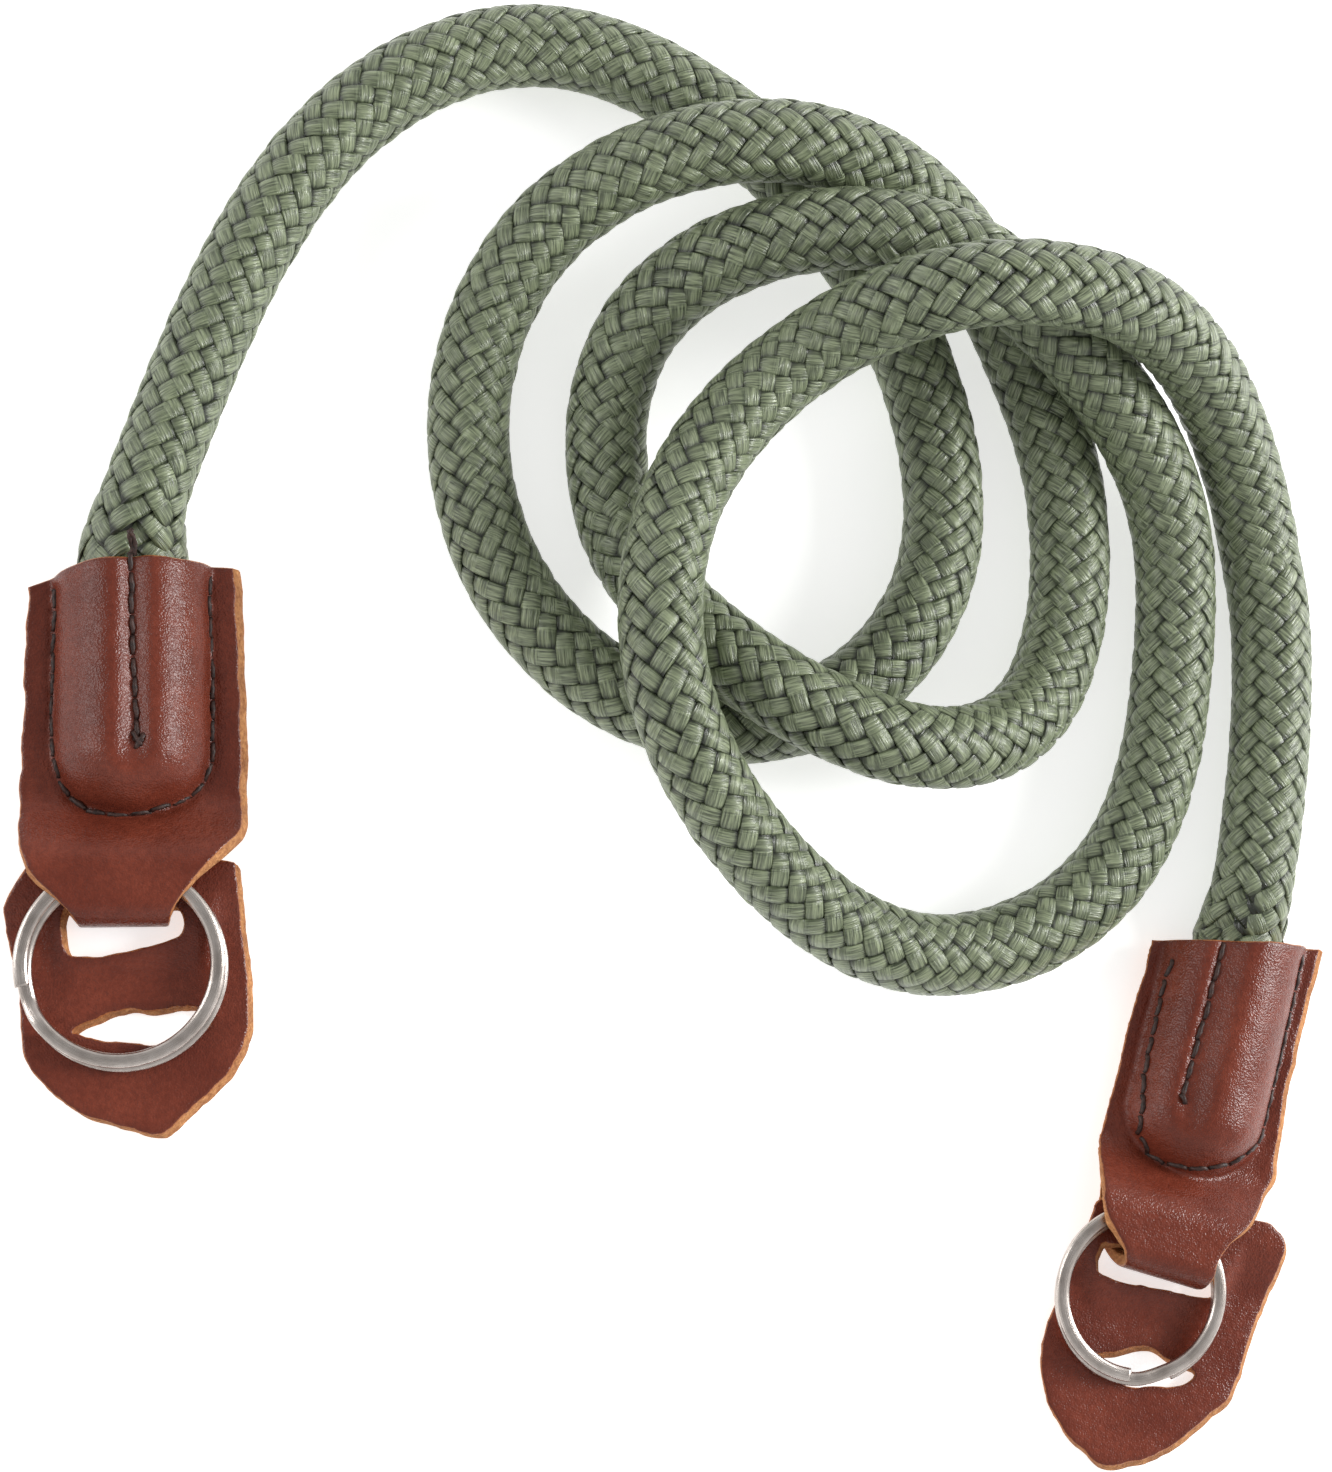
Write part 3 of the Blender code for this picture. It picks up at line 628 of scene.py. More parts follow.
def lay_rope():
    """The rope's middle line with its frames, and how flat it is along its length."""
    route = curve_through(ROPE_ROUTE_MM, 1800)
    route[:, 2] = np.maximum(route[:, 2], ROPE_LOWEST_CENTRE)
    first = pocket_line(END_LEFT, route[0], route[1] - route[0])
    last = pocket_line(END_RIGHT, route[-1], route[-2] - route[-1])
    line = np.concatenate([first, route, last[::-1]])
    period = LEAD / (STRANDS_PER_HAND / 2)
    count = int(line_length(line) / period * SAMPLES_PER_PERIOD)
    centre, arc = resample(line, count)
    for _ in range(3):
        centre[1:-1] = (centre[:-2] + 2 * centre[1:-1] + centre[2:]) / 4
    ahead = unit(np.gradient(centre, axis=0))
    side = unit(np.cross((0.0, 0.0, 1.0), ahead))
    from_left, from_right = arc - POCKET_REACH, arc[-1] - POCKET_REACH - arc
    near_left = from_left < from_right
    out = np.where(near_left, from_left, from_right)
    return {
        "centre": centre,
        "arc": arc,
        "side": side,
        "up": np.cross(ahead, side),
        "flat": 1.0 - ease(out / FLATTENING),
        "half_width": np.where(near_left, END_LEFT["rope_half_width"], END_RIGHT["rope_half_width"]),
        "groove": np.where(near_left, -END_LEFT["groove_side"], END_RIGHT["groove_side"]),
    }


def on_rope(lay, index, angle, lift):
    """Points at angles round the rope, lifted off its middle layer and flat in the pockets."""
    cos, sin = np.cos(angle), np.sin(angle)
    flat, side, up = lay["flat"][index], lay["side"][index], lay["up"][index]
    wide = lay["half_width"][index] * squared_off(cos, END_SIDE_POWER)
    fill = np.clip(1.0 - (wide / (POCKET_WIDTH / 2)) ** 2, 0.0, 1.0)
    beside = (wide - lay["groove"][index]) / GROOVE_WIDTH
    rise = POCKET_HEIGHT * fill**POCKET_FULLNESS - GROOVE_DEPTH * np.exp(-(beside**2)) * fill
    top = TAB_LEATHER + rise - END_TOP_GAP
    low = TAB_LEATHER + END_LOW_GAP
    middle = low + END_WIDEST * (top - low)
    above = (top - middle) * np.abs(sin) ** END_TOP_POWER
    below = (low - middle) * np.abs(sin) ** END_LOW_POWER
    level = np.where(sin > 0, above, below) + middle - POCKET_CENTRE
    x = (1 - flat) * MIDDLE_RADIUS * cos + flat * wide
    z = (1 - flat) * MIDDLE_RADIUS * sin + flat * level
    lift = lift * (1.0 - END_LIFT_LOSS * flat)
    out = cos[:, None] * side + sin[:, None] * up
    return lay["centre"][index] + x[:, None] * side + z[:, None] * up + lift[:, None] * out


def band_faces(rings, size):
    """Faces between closed rings of points, one ring after another."""
    faces = []
    for a in range(0, (rings - 1) * size, size):
        b = a + size
        faces += [(a + j, a + (j + 1) % size, b + (j + 1) % size, b + j) for j in range(size)]
    return faces


def tube_faces(rings, size):
    """Faces of a closed tube of rings, with both ends capped."""
    last = (rings - 1) * size
    return band_faces(rings, size) + [tuple(range(size)), tuple(range(last, last + size))]


def add_core(lay, look):
    """The rope's core, which fills the gaps between the strands."""
    picked = np.arange(0, len(lay["arc"]), CORE_STEP)
    angles = np.linspace(0.0, 2 * math.pi, CORE_SIDES, endpoint=False)
    index = np.repeat(picked, CORE_SIDES)
    angle = np.tile(angles, len(picked))
    points = on_rope(lay, index, angle, np.full(len(index), -CORE_SINK))
    faces = tube_faces(len(picked), CORE_SIDES)
    nodes = ("rope", "rope_end_left", "rope_end_right")
    return add_mesh("rope_core", points, faces, [look], nodes)


def wander(rng, arc, step, amount):
    """A value that drifts smoothly along the rope."""
    knots = np.arange(0.0, arc[-1] + 2 * step, step)
    values = rng.normal(0.0, amount, len(knots))
    share = arc / step
    low = np.floor(share).astype(int)
    blend = ease(share - low)
    return values[low] * (1 - blend) + values[low + 1] * blend


# Outline of a strand across its width: shares of half its width, and height
STRAND_ACROSS = np.array((-1.0, -0.80, 0.0, 0.80, 1.0, 0.0))
STRAND_HEIGHT = np.array((-0.16, 0.14, 0.25, 0.14, -0.16, -0.30))
# A strand is widest and highest where it lies on top, and wider where the rope is flat
STRAND_WIDENING = 0.04
STRAND_CROWN = 0.85
STRAND_CROWN_GAIN = 0.25
STRAND_FLAT_GAIN = 0.28
# What drifts along a strand: millimetres between changes, and their size
ANGLE_DRIFT = (5.0, math.radians(0.9))
HEIGHT_DRIFT = (4.0, 0.04)
WIDTH_DRIFT = (6.0, 0.025)
TONE_DRIFT = (3.0, 0.10)
# Yarn length for a length of rope, and shifts that keep strands from looking alike
YARN_LENGTH = 1.38
YARN_SHIFTS = (3.7, 1.9)
# How much painted shade darkens a strand towards its edges
EDGE_SHADE = 0.5
STREAK_TURN = 1.6
STRANDS_PER_PIECE = 4
STRAND_SEED = 5


def strand_mesh(lay, hand, number, rng):
    """Points of one strand, which winds one way and dives under the other hand's strands."""
    arc = lay["arc"]
    index = np.arange(len(arc))
    angle = hand * 2 * math.pi * arc / LEAD + 2 * math.pi * number / STRANDS_PER_HAND
    phase = STRANDS_PER_HAND / 2 * (angle - math.radians(COLUMN_PHASE))
    weave = hand * np.cos(phase)
    angle = angle + wander(rng, arc, *ANGLE_DRIFT)
    level = np.tanh(WEAVE_SQUARENESS * weave) / math.tanh(WEAVE_SQUARENESS)
    lift = WEAVE_RISE * level + wander(rng, arc, *HEIGHT_DRIFT)
    spine = on_rope(lay, index, angle, lift)
    outer = on_rope(lay, index, angle, lift + 1.0) - spine
    ahead = np.gradient(spine, axis=0)
    across = unit(np.cross(outer, ahead))
    outer = unit(np.cross(ahead, across))
    width = 1.0 - STRAND_WIDENING + STRAND_WIDENING * level + wander(rng, arc, *WIDTH_DRIFT)
    half = STRAND_HALF_WIDTH * width * (1.0 + STRAND_FLAT_GAIN * lay["flat"])
    crown = STRAND_CROWN + STRAND_CROWN_GAIN * np.clip(weave, 0.0, 1.0)
    tone = wander(rng, arc, *TONE_DRIFT)
    points = (
        spine[:, None, :]
        + across[:, None, :] * (half[:, None] * STRAND_ACROSS)[..., None]
        + outer[:, None, :] * (crown[:, None] * STRAND_HEIGHT)[..., None]
    )
    shift = number * YARN_SHIFTS[0] + hand * YARN_SHIFTS[1]
    yarn = stack(arc[:, None] * YARN_LENGTH, STRAND_ACROSS, shift)
    aside = np.abs(STRAND_ACROSS)
    # Kept for the material: painted shade from how high the strand lies, varied by a random tone and
    # darker at its edges; the turn of the streaks; and a painted highlight in the middle of each
    # float
    lie = stack(
        (level + tone)[:, None] - EDGE_SHADE * aside**3,
        ease(0.5 + STREAK_TURN * np.sin(phase))[:, None],
        np.abs(np.sin(2 * phase))[:, None] * (1.0 - aside) ** 0.5,
    )
    return points.reshape(-1, 3), yarn, lie


def add_strands(lay, look):
    """All the strands, a few to a piece."""
    faces = tube_faces(len(lay["arc"]), len(STRAND_ACROSS))
    rng = np.random.default_rng(STRAND_SEED)
    strands = [(hand, number) for hand in (1, -1) for number in range(STRANDS_PER_HAND)]
    pieces = []
    for group in range(0, len(strands), STRANDS_PER_PIECE):
        picked = strands[group:group + STRANDS_PER_PIECE]
        made = [strand_mesh(lay, hand, number, rng) for hand, number in picked]
        points, sides = joined((body, faces) for body, _, _ in made)
        name = "rope_strands_%d" % (group // STRANDS_PER_PIECE + 1)
        piece = add_mesh(name, points, sides, [look])
        keep(piece, "yarn", [yarn for _, yarn, _ in made])
        keep(piece, "lie", [lie for _, _, lie in made])
        pieces.append(piece)
    return pieces


# Leather tab

EDGE_STEPS = np.array((0.0, 0.12, 0.32, 0.65))
EDGE_DROPS = np.array((0.22, 0.07, 0.015, 0.0))
TAB_COLUMNS = 56
TAB_ROWS = 92
FOLD_STEPS = 12
WALL_SHARES = (0.3, 0.7)
WALL_ROUGHNESS = (-0.02, 0.14)
LAYER_GAP = 0.05
# Waves of a hand-cut edge: size and length
TAB_CUT = ((0.16, 2.6), (0.07, 0.8))
MOUTH_CUT = ((0.12, 1.7),)
# How far before the fold the edges grow rough, and the back layer tucks in and spreads
CUT_FADE = 4.0
TUCK_FADE = 2.5
SPREAD_FADE = 8.0
# The seam's valley and its holes: depth, and reach (squared for the holes)
SEAM_DIP = (0.26, 0.6)
HOLE_DIP = (0.22, 0.16)
# The lean of the knife: rows or shares of the half width where it starts, and its length
LEAN_ROWS = (29.0, 4.0)
LEAN_RIGHT = (0.55, 0.3)
LEAN_LEFT = (0.75, 0.2)
LEAN_LEFT_SHARE = 0.6
LEAN_BACK_SHARE = 0.5
LEAN_DOWN = 0.5
LEAN_DOWN_ROWS = (30.0, 3.0)
# The front's free edges stand off in waves, and all of it sways
FLARE = 0.22
FLARE_ACROSS = (9.4, 2.2)
FLARE_END = EYE_START + 3
FLARE_FADE = 4.0
FLARE_WAVE = 5.0
FLARE_STRETCH = 0.3
SWAY = 0.05
SWAY_WAVE = 3.4


def bulge(end, down, across, spread):
    """Height of the sewn bulge over the rope's end."""
    half = POCKET_WIDTH / 2 + spread
    round_start = POCKET_DEPTH + spread - POCKET_ROUND
    past = np.maximum(0.0, (down - round_start) / POCKET_ROUND)
    fill = np.maximum(1.0 - (across / half) ** 2 - past**2, 0.0)
    rise = POCKET_HEIGHT * fill**POCKET_FULLNESS
    beside = (across - end["groove_side"]) / GROOVE_WIDTH
    fade = 1.0 - ramp(down, GROOVE_LENGTH, GROOVE_FADE)
    return np.maximum(rise - GROOVE_DEPTH * np.exp(-(beside**2)) * fade * fill, 0.0)


def eye_opening(down):
    """How far the front leather stands off the back leather towards the fold."""
    share = np.clip((down - NECK_START) / NECK_RISE, 0.0, 1.0)
    return EYE_HEIGHT * share**3 * (10.0 - 15.0 * share + 6.0 * share**2)


def stitch_lines(end):
    """The seam round the pocket and the one down its middle, as fine lines and as holes."""
    lines = []
    for points in (end["side_stitches"], end["middle_stitches"]):
        fine = curve_through([(x, y, 0.0) for x, y in points], 120)
        count = int(round(line_length(fine) / STITCH_PITCH)) + 1
        holes, _ = resample(fine, count)
        lines.append((fine[::3, :2], holes[:, :2]))
    return lines


def seam_dip(end, across, down):
    """How far the thread pulls the leather in: a shallow valley, deeper at each hole."""
    dip = np.zeros(np.shape(across))
    for fine, holes in stitch_lines(end):
        aside = distance_to_line(across, down, fine) / SEAM_DIP[1]
        dip = np.maximum(dip, SEAM_DIP[0] * np.exp(-(aside**2)))
        for x, y in holes:
            near = ((across - x) ** 2 + (down - y) ** 2) / HOLE_DIP[1]
            dip = dip + HOLE_DIP[0] * np.exp(-near)
    return dip


def front_height(end, row, across):
    """Outer face of the front layer, before the seams and the edges are worked."""
    gap = bulge(end, row, across, 0.0) + eye_opening(row)
    crown = bulge(end, row, across, SEAM_SPREAD) + eye_opening(row + EYE_LEAD)
    return 2 * TAB_LEATHER + np.maximum(crown, gap)


def off_fold(row, length):
    """From 0 at the fold to 1 at a length before it."""
    return ease((FOLD_CENTRE - row) / length)


def tab_columns(end, down, layer):
    """Places across one layer of the tab at one row, closer together near its edges."""
    half = end["tab_width"] / 2
    nearby = down / TAB_LENGTH + np.linspace(-0.02, 0.02, 5)
    left = half * read(end["tab_sides"], nearby, 1).mean()
    right = half * read(end["tab_sides"], nearby, 2).mean()
    rough = off_fold(down, CUT_FADE) if layer else 1.0
    seed = end["seed"] + layer
    left += rough * ragged(down, (0.0, 5.0), TAB_CUT, seed)
    right += rough * ragged(down, (9.0, 3.0), TAB_CUT, seed)
    if layer:
        left += end["back_tuck"] * off_fold(down, TUCK_FADE)
        right += end["back_spread"] * off_fold(down, SPREAD_FADE)
    inside = np.linspace(left + EDGE_STEPS[3], right - EDGE_STEPS[3], TAB_COLUMNS - 6)
    return np.concatenate([left + EDGE_STEPS[:3], inside, right - EDGE_STEPS[2::-1]])


def cut_back(end, down, across, layer):
    """Distance from the square mouth, moved where the mouth is cut on the slant."""
    slant = TAB_LENGTH * read(end["mouth"], across / (end["tab_width"] / 2), 1)
    slant = slant + ragged(across, (2.0 + 7 * layer,), MOUTH_CUT, end["seed"])
    return down + slant * np.maximum(0.0, 1.0 - down / POCKET_DEPTH) ** 2


def skewed(end, x, down, row):
    """The inner face, moved where the knife leaned so that the right and lower walls show."""
    share = x / (end["tab_width"] / 2)
    straight = max(1.0 - ramp(row, *LEAN_ROWS), end["neck_lean"])
    shift = end["lean"] * ramp(share, *LEAN_RIGHT)
    shift = shift + LEAN_LEFT_SHARE * end["lean"] * straight * ramp(-share, *LEAN_LEFT)
    lower = LEAN_DOWN * ramp(row, *LEAN_DOWN_ROWS) * off_fold(row, LEAN_DOWN_ROWS[1])
    return x + shift, down + lower


def tab_surfaces(end):
    """Outer face, inner face and nearness to the rim, row by row from mouth to mouth."""
    rows = np.concatenate([EDGE_STEPS[:3], np.linspace(EDGE_STEPS[3], FOLD_CENTRE, TAB_ROWS)])
    mouth_drop = np.concatenate([EDGE_DROPS[:3], np.zeros(TAB_ROWS)])
    drop = np.concatenate([EDGE_DROPS, np.zeros(TAB_COLUMNS - 8), EDGE_DROPS[::-1]])
    outer, inner, rim = [], [], []

    def rim_at(x, row):
        aside = np.minimum(x - x[0], x[-1] - x)
        return np.minimum(np.minimum(aside, row), 1.0)

    for row, mouth in zip(rows, mouth_drop):
        x = tab_columns(end, row, 0)
        down = cut_back(end, row, x, 0)
        free = ramp(np.abs(x), *FLARE_ACROSS) * ease((FLARE_END - row) / FLARE_FADE)
        wave = ripple(x * FLARE_STRETCH, row, FLARE_WAVE, end["seed"] + 3)
        flare = free * (FLARE + FLARE * wave)
        sway = SWAY * ripple(x, row, SWAY_WAVE, end["seed"] + 4)
        top = front_height(end, row, x) + flare + sway - seam_dip(end, x, down)
        gap = np.maximum(bulge(end, row, x, 0.0) + eye_opening(row), LAYER_GAP)
        outer.append(stack(x, down, top - np.maximum(drop, mouth)))
        inner.append(stack(*skewed(end, x, down, row), TAB_LEATHER + gap + flare))
        rim.append(rim_at(x, row))
    middle = TAB_LEATHER + EYE_HEIGHT / 2
    for step in range(1, FOLD_STEPS):
        angle = math.pi * step / FOLD_STEPS
        outer_down = FOLD_CENTRE + FOLD_REACH * math.sin(angle)
        inner_down = FOLD_CENTRE + (FOLD_REACH - TAB_LEATHER) * math.sin(angle)
        outer_up = middle * (1.0 + math.cos(angle))
        inner_up = middle + (middle - TAB_LEATHER) * math.cos(angle)
        x = tab_columns(end, outer_down, 0)
        outer.append(stack(x, outer_down - drop * math.sin(angle), outer_up - drop * math.cos(angle)))
        faded = skewed(end, x, inner_down, FOLD_CENTRE)[0]
        inner.append(stack(x + (faded - x) * (1.0 - step / FOLD_STEPS), inner_down, inner_up))
        rim.append(rim_at(x, 9.0))
    for row, mouth in zip(rows[::-1], mouth_drop[::-1]):
        x = tab_columns(end, row, 1)
        down = cut_back(end, row, x, 1)
        low = x + LEAN_BACK_SHARE * end["lean"] * off_fold(row, SPREAD_FADE)
        outer.append(stack(low, down, np.maximum(drop, mouth) + seam_dip(end, x, down)))
        inner.append(stack(x, down, TAB_LEATHER - LAYER_GAP))
        rim.append(rim_at(x, row))
    return np.array(outer), np.array(inner), np.array(rim)


def add_tab(end, looks):
    """One folded strip with finished faces outside and raw leather inside and at its edges."""
    outer, inner, rim = tab_surfaces(end)
    rows, columns = outer.shape[:2]
    rng = np.random.default_rng(end["seed"])

    def wall(first, second, way):
        spots = [first + (second - first) * share for share in WALL_SHARES]
        for spot in spots:
            spot[0] += way * rng.uniform(*WALL_ROUGHNESS)
        return spots

    rings = []
    for top, low in zip(outer, inner):
        right = wall(top[-1], low[-1], 1.0)
        left = wall(low[0], top[0], -1.0)
        rings.append([*top, *right, *low[::-1], *left])
    size = len(rings[0])
    walls = len(WALL_SHARES)
    points = to_frame(end, np.array(rings).reshape(-1, 3))
    faces = band_faces(rows, size)
    kinds = ([0] * (columns - 1) + [1] * (size - columns + 1)) * (rows - 1)
    for k in (0, rows - 1):
        a = k * size
        for j in range(columns - 1):
            below = 2 * columns + walls - 1 - j
            faces.append((a + j, a + j + 1, a + below - 1, a + below))
            kinds.append(1)
        right = [a + columns - 1 + n for n in range(walls + 2)]
        left = [a + 2 * columns + walls - 1 + n for n in range(walls + 1)] + [a]
        faces += [right, left]
        kinds += [1, 1]
    name = "tab_leather_" + end["name"]
    piece = add_mesh(name, points, faces, looks, ("end_tab_" + end["name"],))
    piece.data.polygons.foreach_set("material_index", kinds)
    values = np.ones((rows, size))
    values[:, :columns] = rim
    keep(piece, "rim", values, "FLOAT", "value")


# Sewing

THREAD_SIDES = 8
# A thread's two plies: how much they stand out, and their turn per millimetre
PLY_DEPTH = 0.16
PLY_TURN = 5.0
# A stitch is sunk at its holes and rises between them, on the front and on the back
STITCH_SHARES = np.linspace(0.08, 0.92, 9)
STITCH_ROUNDNESS = 0.6
FRONT_SINK, FRONT_RISE = 0.70, 0.62
BACK_SINK, BACK_RISE = 0.75, 0.46
STITCH_JITTER = 0.10
KNOT_RISE = 0.25
THIN = 0.9


def thread_tube(path, radius):
    """A thread along a path, with two plies showing as a slow twist."""
    ahead = unit(np.gradient(path, axis=0))
    side = unit(np.cross(ahead, (0.0, 0.0, 1.0)))
    up = np.cross(side, ahead)
    angle = np.linspace(0.0, 2 * math.pi, THREAD_SIDES, endpoint=False)
    twist = 2 * angle[None, :] - distances(path)[:, None] * PLY_TURN
    reach = radius * (1.0 + PLY_DEPTH * np.cos(twist))
    points = (
        path[:, None]
        + side[:, None] * (reach * np.cos(angle))[..., None]
        + up[:, None] * (reach * np.sin(angle))[..., None]
    )
    return points.reshape(-1, 3), tube_faces(len(path), THREAD_SIDES)


def add_stitches(end, look):
    """Every stitch of one end, on both faces of the tab, with its knot and cut tails."""
    rng = np.random.default_rng(end["seed"] + 7)
    threads = []

    def sew(path, radius=THREAD_RADIUS):
        threads.append(thread_tube(path, radius))

    def lay_stitch(a, b, proud=0.0):
        x, down = (a + (b - a) * STITCH_SHARES[:, None]).T
        crown = np.sin(math.pi * STITCH_SHARES) ** STITCH_ROUNDNESS
        top = front_height(end, down, x) + proud
        sew(stack(x, down, top - FRONT_SINK + FRONT_RISE * crown))
        sew(stack(x, down, BACK_SINK - BACK_RISE * crown), THREAD_RADIUS * THIN)

    for _, holes in stitch_lines(end):
        for a, b in zip(holes[:-1], holes[1:]):
            a, b = a + rng.normal(0.0, STITCH_JITTER, 2), b + rng.normal(0.0, STITCH_JITTER, 2)
            lay_stitch(a, b)
    for a, b in end["knot"]:
        lay_stitch(np.array(a), np.array(b), KNOT_RISE)
    for tail in end["tails"]:
        sew(curve_through(tail, 16), THREAD_RADIUS * THIN)
    points, faces = joined(threads)
    add_mesh("stitches_" + end["name"], to_frame(end, points), faces, [look])


# Guard pad

PAD_STEP = 0.8
PAD_EDGE_STEP = 0.55
PAD_INSETS = (0.16, 0.4)
PAD_EDGE_CLEAR = 0.75
PAD_CUT = ((0.10, 0.9), (0.15, 2.6))
PAD_LEAN_DOWN = 0.45
PAD_LEAN_SHARE = 0.8
PAD_SWAY = 0.07
PAD_SWAY_WAVE = 4.2
PAD_SWAY_FROM = (9.0, 6.0)
PAD_LOW_DROP = 0.4
PAD_ROUGHNESS = (-0.05, 0.09)


def pad_height(across, down):
    """Height of the pad's back: over the tab's back layer, then down to the surface."""
    start = PAD_SAG_START - PAD_SIDE_SAG * ramp(np.abs(across), PAD_SIDE_START, PAD_SIDE_LENGTH)
    return PAD_LIFT * (1.0 - ramp(down, start, PAD_SAG_LENGTH))


def pad_down(share):
    """Distance below the top strip's lower edge, from a share of the pad's length."""
    if share < STRIP_SHARE:
        return STRIP_DEPTH * (share / STRIP_SHARE - 1.0)
    return (PAD_LENGTH - STRIP_DEPTH) * (share - STRIP_SHARE) / (1.0 - STRIP_SHARE)


def closed_line(corners, seed):
    """A cut edge, closely spaced, worn at its corners and ragged, and its way outwards."""
    corners = np.array(corners + corners[:1], float)
    line, along = resample(corners, int(line_length(corners) / PAD_EDGE_STEP))
    line, along = line[:-1], along[:-1]
    for _ in range(2):
        line = (np.roll(line, 1, axis=0) + 2 * line + np.roll(line, -1, axis=0)) / 4
    ahead = unit(np.roll(line, -1, axis=0) - np.roll(line, 1, axis=0))
    normal = np.stack([ahead[:, 1], -ahead[:, 0]], axis=1)
    return line + normal * ragged(along, (1.0, 4.0), PAD_CUT, seed)[:, None], normal


def pad_lines(end):
    """The pad's outline and its two slots, across and down from the top strip's lower edge."""
    half = PAD_WIDTH / 2
    left = [(half * row[1], pad_down(row[0])) for row in end["pad_sides"]]
    right = [(half * row[2], pad_down(row[0])) for row in end["pad_sides"]]
    loops = [left + right[::-1]]
    loops += [[(half * x, pad_down(y)) for x, y in slot] for slot in end["slots"]]
    return [closed_line(loop, end["seed"] + 30 + k) for k, loop in enumerate(loops)]


def inside_loop(x, y, loop):
    """Whether points lie inside a closed line, for arrays."""
    inside = np.zeros(np.shape(x), bool)
    for (ax, ay), (bx, by) in zip(loop, np.roll(loop, -1, axis=0)):
        crosses = (ay > y) != (by > y)
        if ay == by:
            continue
        reach = ax + (y - ay) / (by - ay) * (bx - ax)
        inside ^= crosses & (x < reach)
    return inside


def add_pad(end, looks):
    """The guard pad as one cut piece, bent over the tab's back layer."""
    loops = pad_lines(end)
    outlines = [line for line, _ in loops]
    edge_points, edges = joined(
        (line, [(k, (k + 1) % len(line)) for k in range(len(line))]) for line in outlines
    )
    near = [np.concatenate([line, line[:1]]) for line in outlines]

    def clear_of(x, y):
        return np.minimum.reduce([distance_to_line(x, y, line) for line in near])

    def in_leather(x, y):
        inside = inside_loop(x, y, outlines[0])
        for slot in outlines[1:]:
            inside &= ~inside_loop(x, y, slot)
        return inside

    def kept(spots, least):
        x, y = spots.T
        return spots[in_leather(x, y) & (clear_of(x, y) > least)]

    insets = [inset * way for inset in PAD_INSETS for way in (1.0, -1.0)]
    extra = np.concatenate([line + normal * inset for line, normal in loops for inset in insets])
    grid = np.meshgrid(
        np.arange(-PAD_WIDTH, PAD_WIDTH, PAD_STEP), np.arange(-STRIP_DEPTH, PAD_LENGTH, PAD_STEP)
    )
    grid = np.stack([axis.ravel() for axis in grid], axis=1)
    flat = np.concatenate([
        edge_points, kept(extra, PAD_INSETS[0] * 0.8), kept(grid, PAD_EDGE_CLEAR)
    ])
    corners, _, triangles, *_ = geometry.delaunay_2d_cdt(
        [Vector(spot) for spot in flat.tolist()], edges, [], 1, TINY
    )
    flat = np.array([tuple(corner) for corner in corners])
    triangles = np.array([list(triangle) for triangle in triangles])
    middle = flat[triangles].mean(axis=1)
    triangles = triangles[in_leather(middle[:, 0], middle[:, 1])]

    turn = math.radians(end["pad_turn"])
    x = flat[:, 0] * math.cos(turn) + flat[:, 1] * math.sin(turn)
    down = -flat[:, 0] * math.sin(turn) + flat[:, 1] * math.cos(turn)
    down += FOLD_CENTRE + end["pad_seat"]
    rim = clear_of(flat[:, 0], flat[:, 1])
    base = pad_height(flat[:, 0], flat[:, 1])
    loose = ramp(flat[:, 1], *PAD_SWAY_FROM)
    sway = PAD_SWAY * ripple(flat[:, 0], flat[:, 1], PAD_SWAY_WAVE, end["seed"] + 40) * loose
    drop = np.interp(rim, EDGE_STEPS, EDGE_DROPS)
    top = base + PAD_LEATHER + sway - drop
    low = base + PAD_LOW_DROP * drop
    lean = PAD_LEAN_SHARE * end["lean"]
    points = [stack(x + lean, down + PAD_LEAN_DOWN, low), stack(x, down, top)]
    count = len(flat)
    total = 2 * count
    faces = triangles.tolist() + (triangles + count).tolist()
    kinds = [1] * len(triangles) + [0] * len(triangles)
    sides = [(face[k - 1], face[k]) for face in triangles.tolist() for k in (1, 2, 0)]
    known = set(sides)
    border = [(a, b) for a, b in sides if (b, a) not in known]
    rng = np.random.default_rng(end["seed"] + 50)
    walls = {}
    middle = np.array([x.mean(), down.mean()])
    for a, _ in border:
        away = unit(np.array([[x[a], down[a]]]) - middle)[0]
        ladder = [a]
        for share in WALL_SHARES:
            push = away * rng.uniform(*PAD_ROUGHNESS)
            spot = (
                x[a] + push[0] + lean * (1.0 - share),
                down[a] + push[1] + PAD_LEAN_DOWN * (1.0 - share),
                low[a] + (top[a] - low[a]) * share,
            )
            points.append(np.array([spot]))
            ladder.append(total)
            total += 1
        ladder.append(a + count)
        walls[a] = ladder
    for a, b in border:
        rungs = list(zip(walls[a], walls[b]))
        faces += [(*low, *high[::-1]) for low, high in zip(rungs[:-1], rungs[1:])]
    kinds += [1] * (len(faces) - len(kinds))
    points = to_frame(end, np.concatenate(points))
    name = "pad_leather_" + end["name"]
    piece = add_mesh(name, points, faces, looks, ("guard_pad_" + end["name"],))
    piece.data.polygons.foreach_set("material_index", kinds)
    values = np.zeros(total)
    values[:2 * count] = np.minimum(np.tile(rim, 2), 1.0)
    keep(piece, "rim", values, "FLOAT", "value")


# Split ring

RING_STEPS = 420
WIRE_SIDES = 16
WIRE_SIDE_POWER = 0.72
WIRE_TOP_POWER = 0.80
# How far the lower turn sits from the upper one, across and down
TURN_SLIP = (0.40, 0.55)


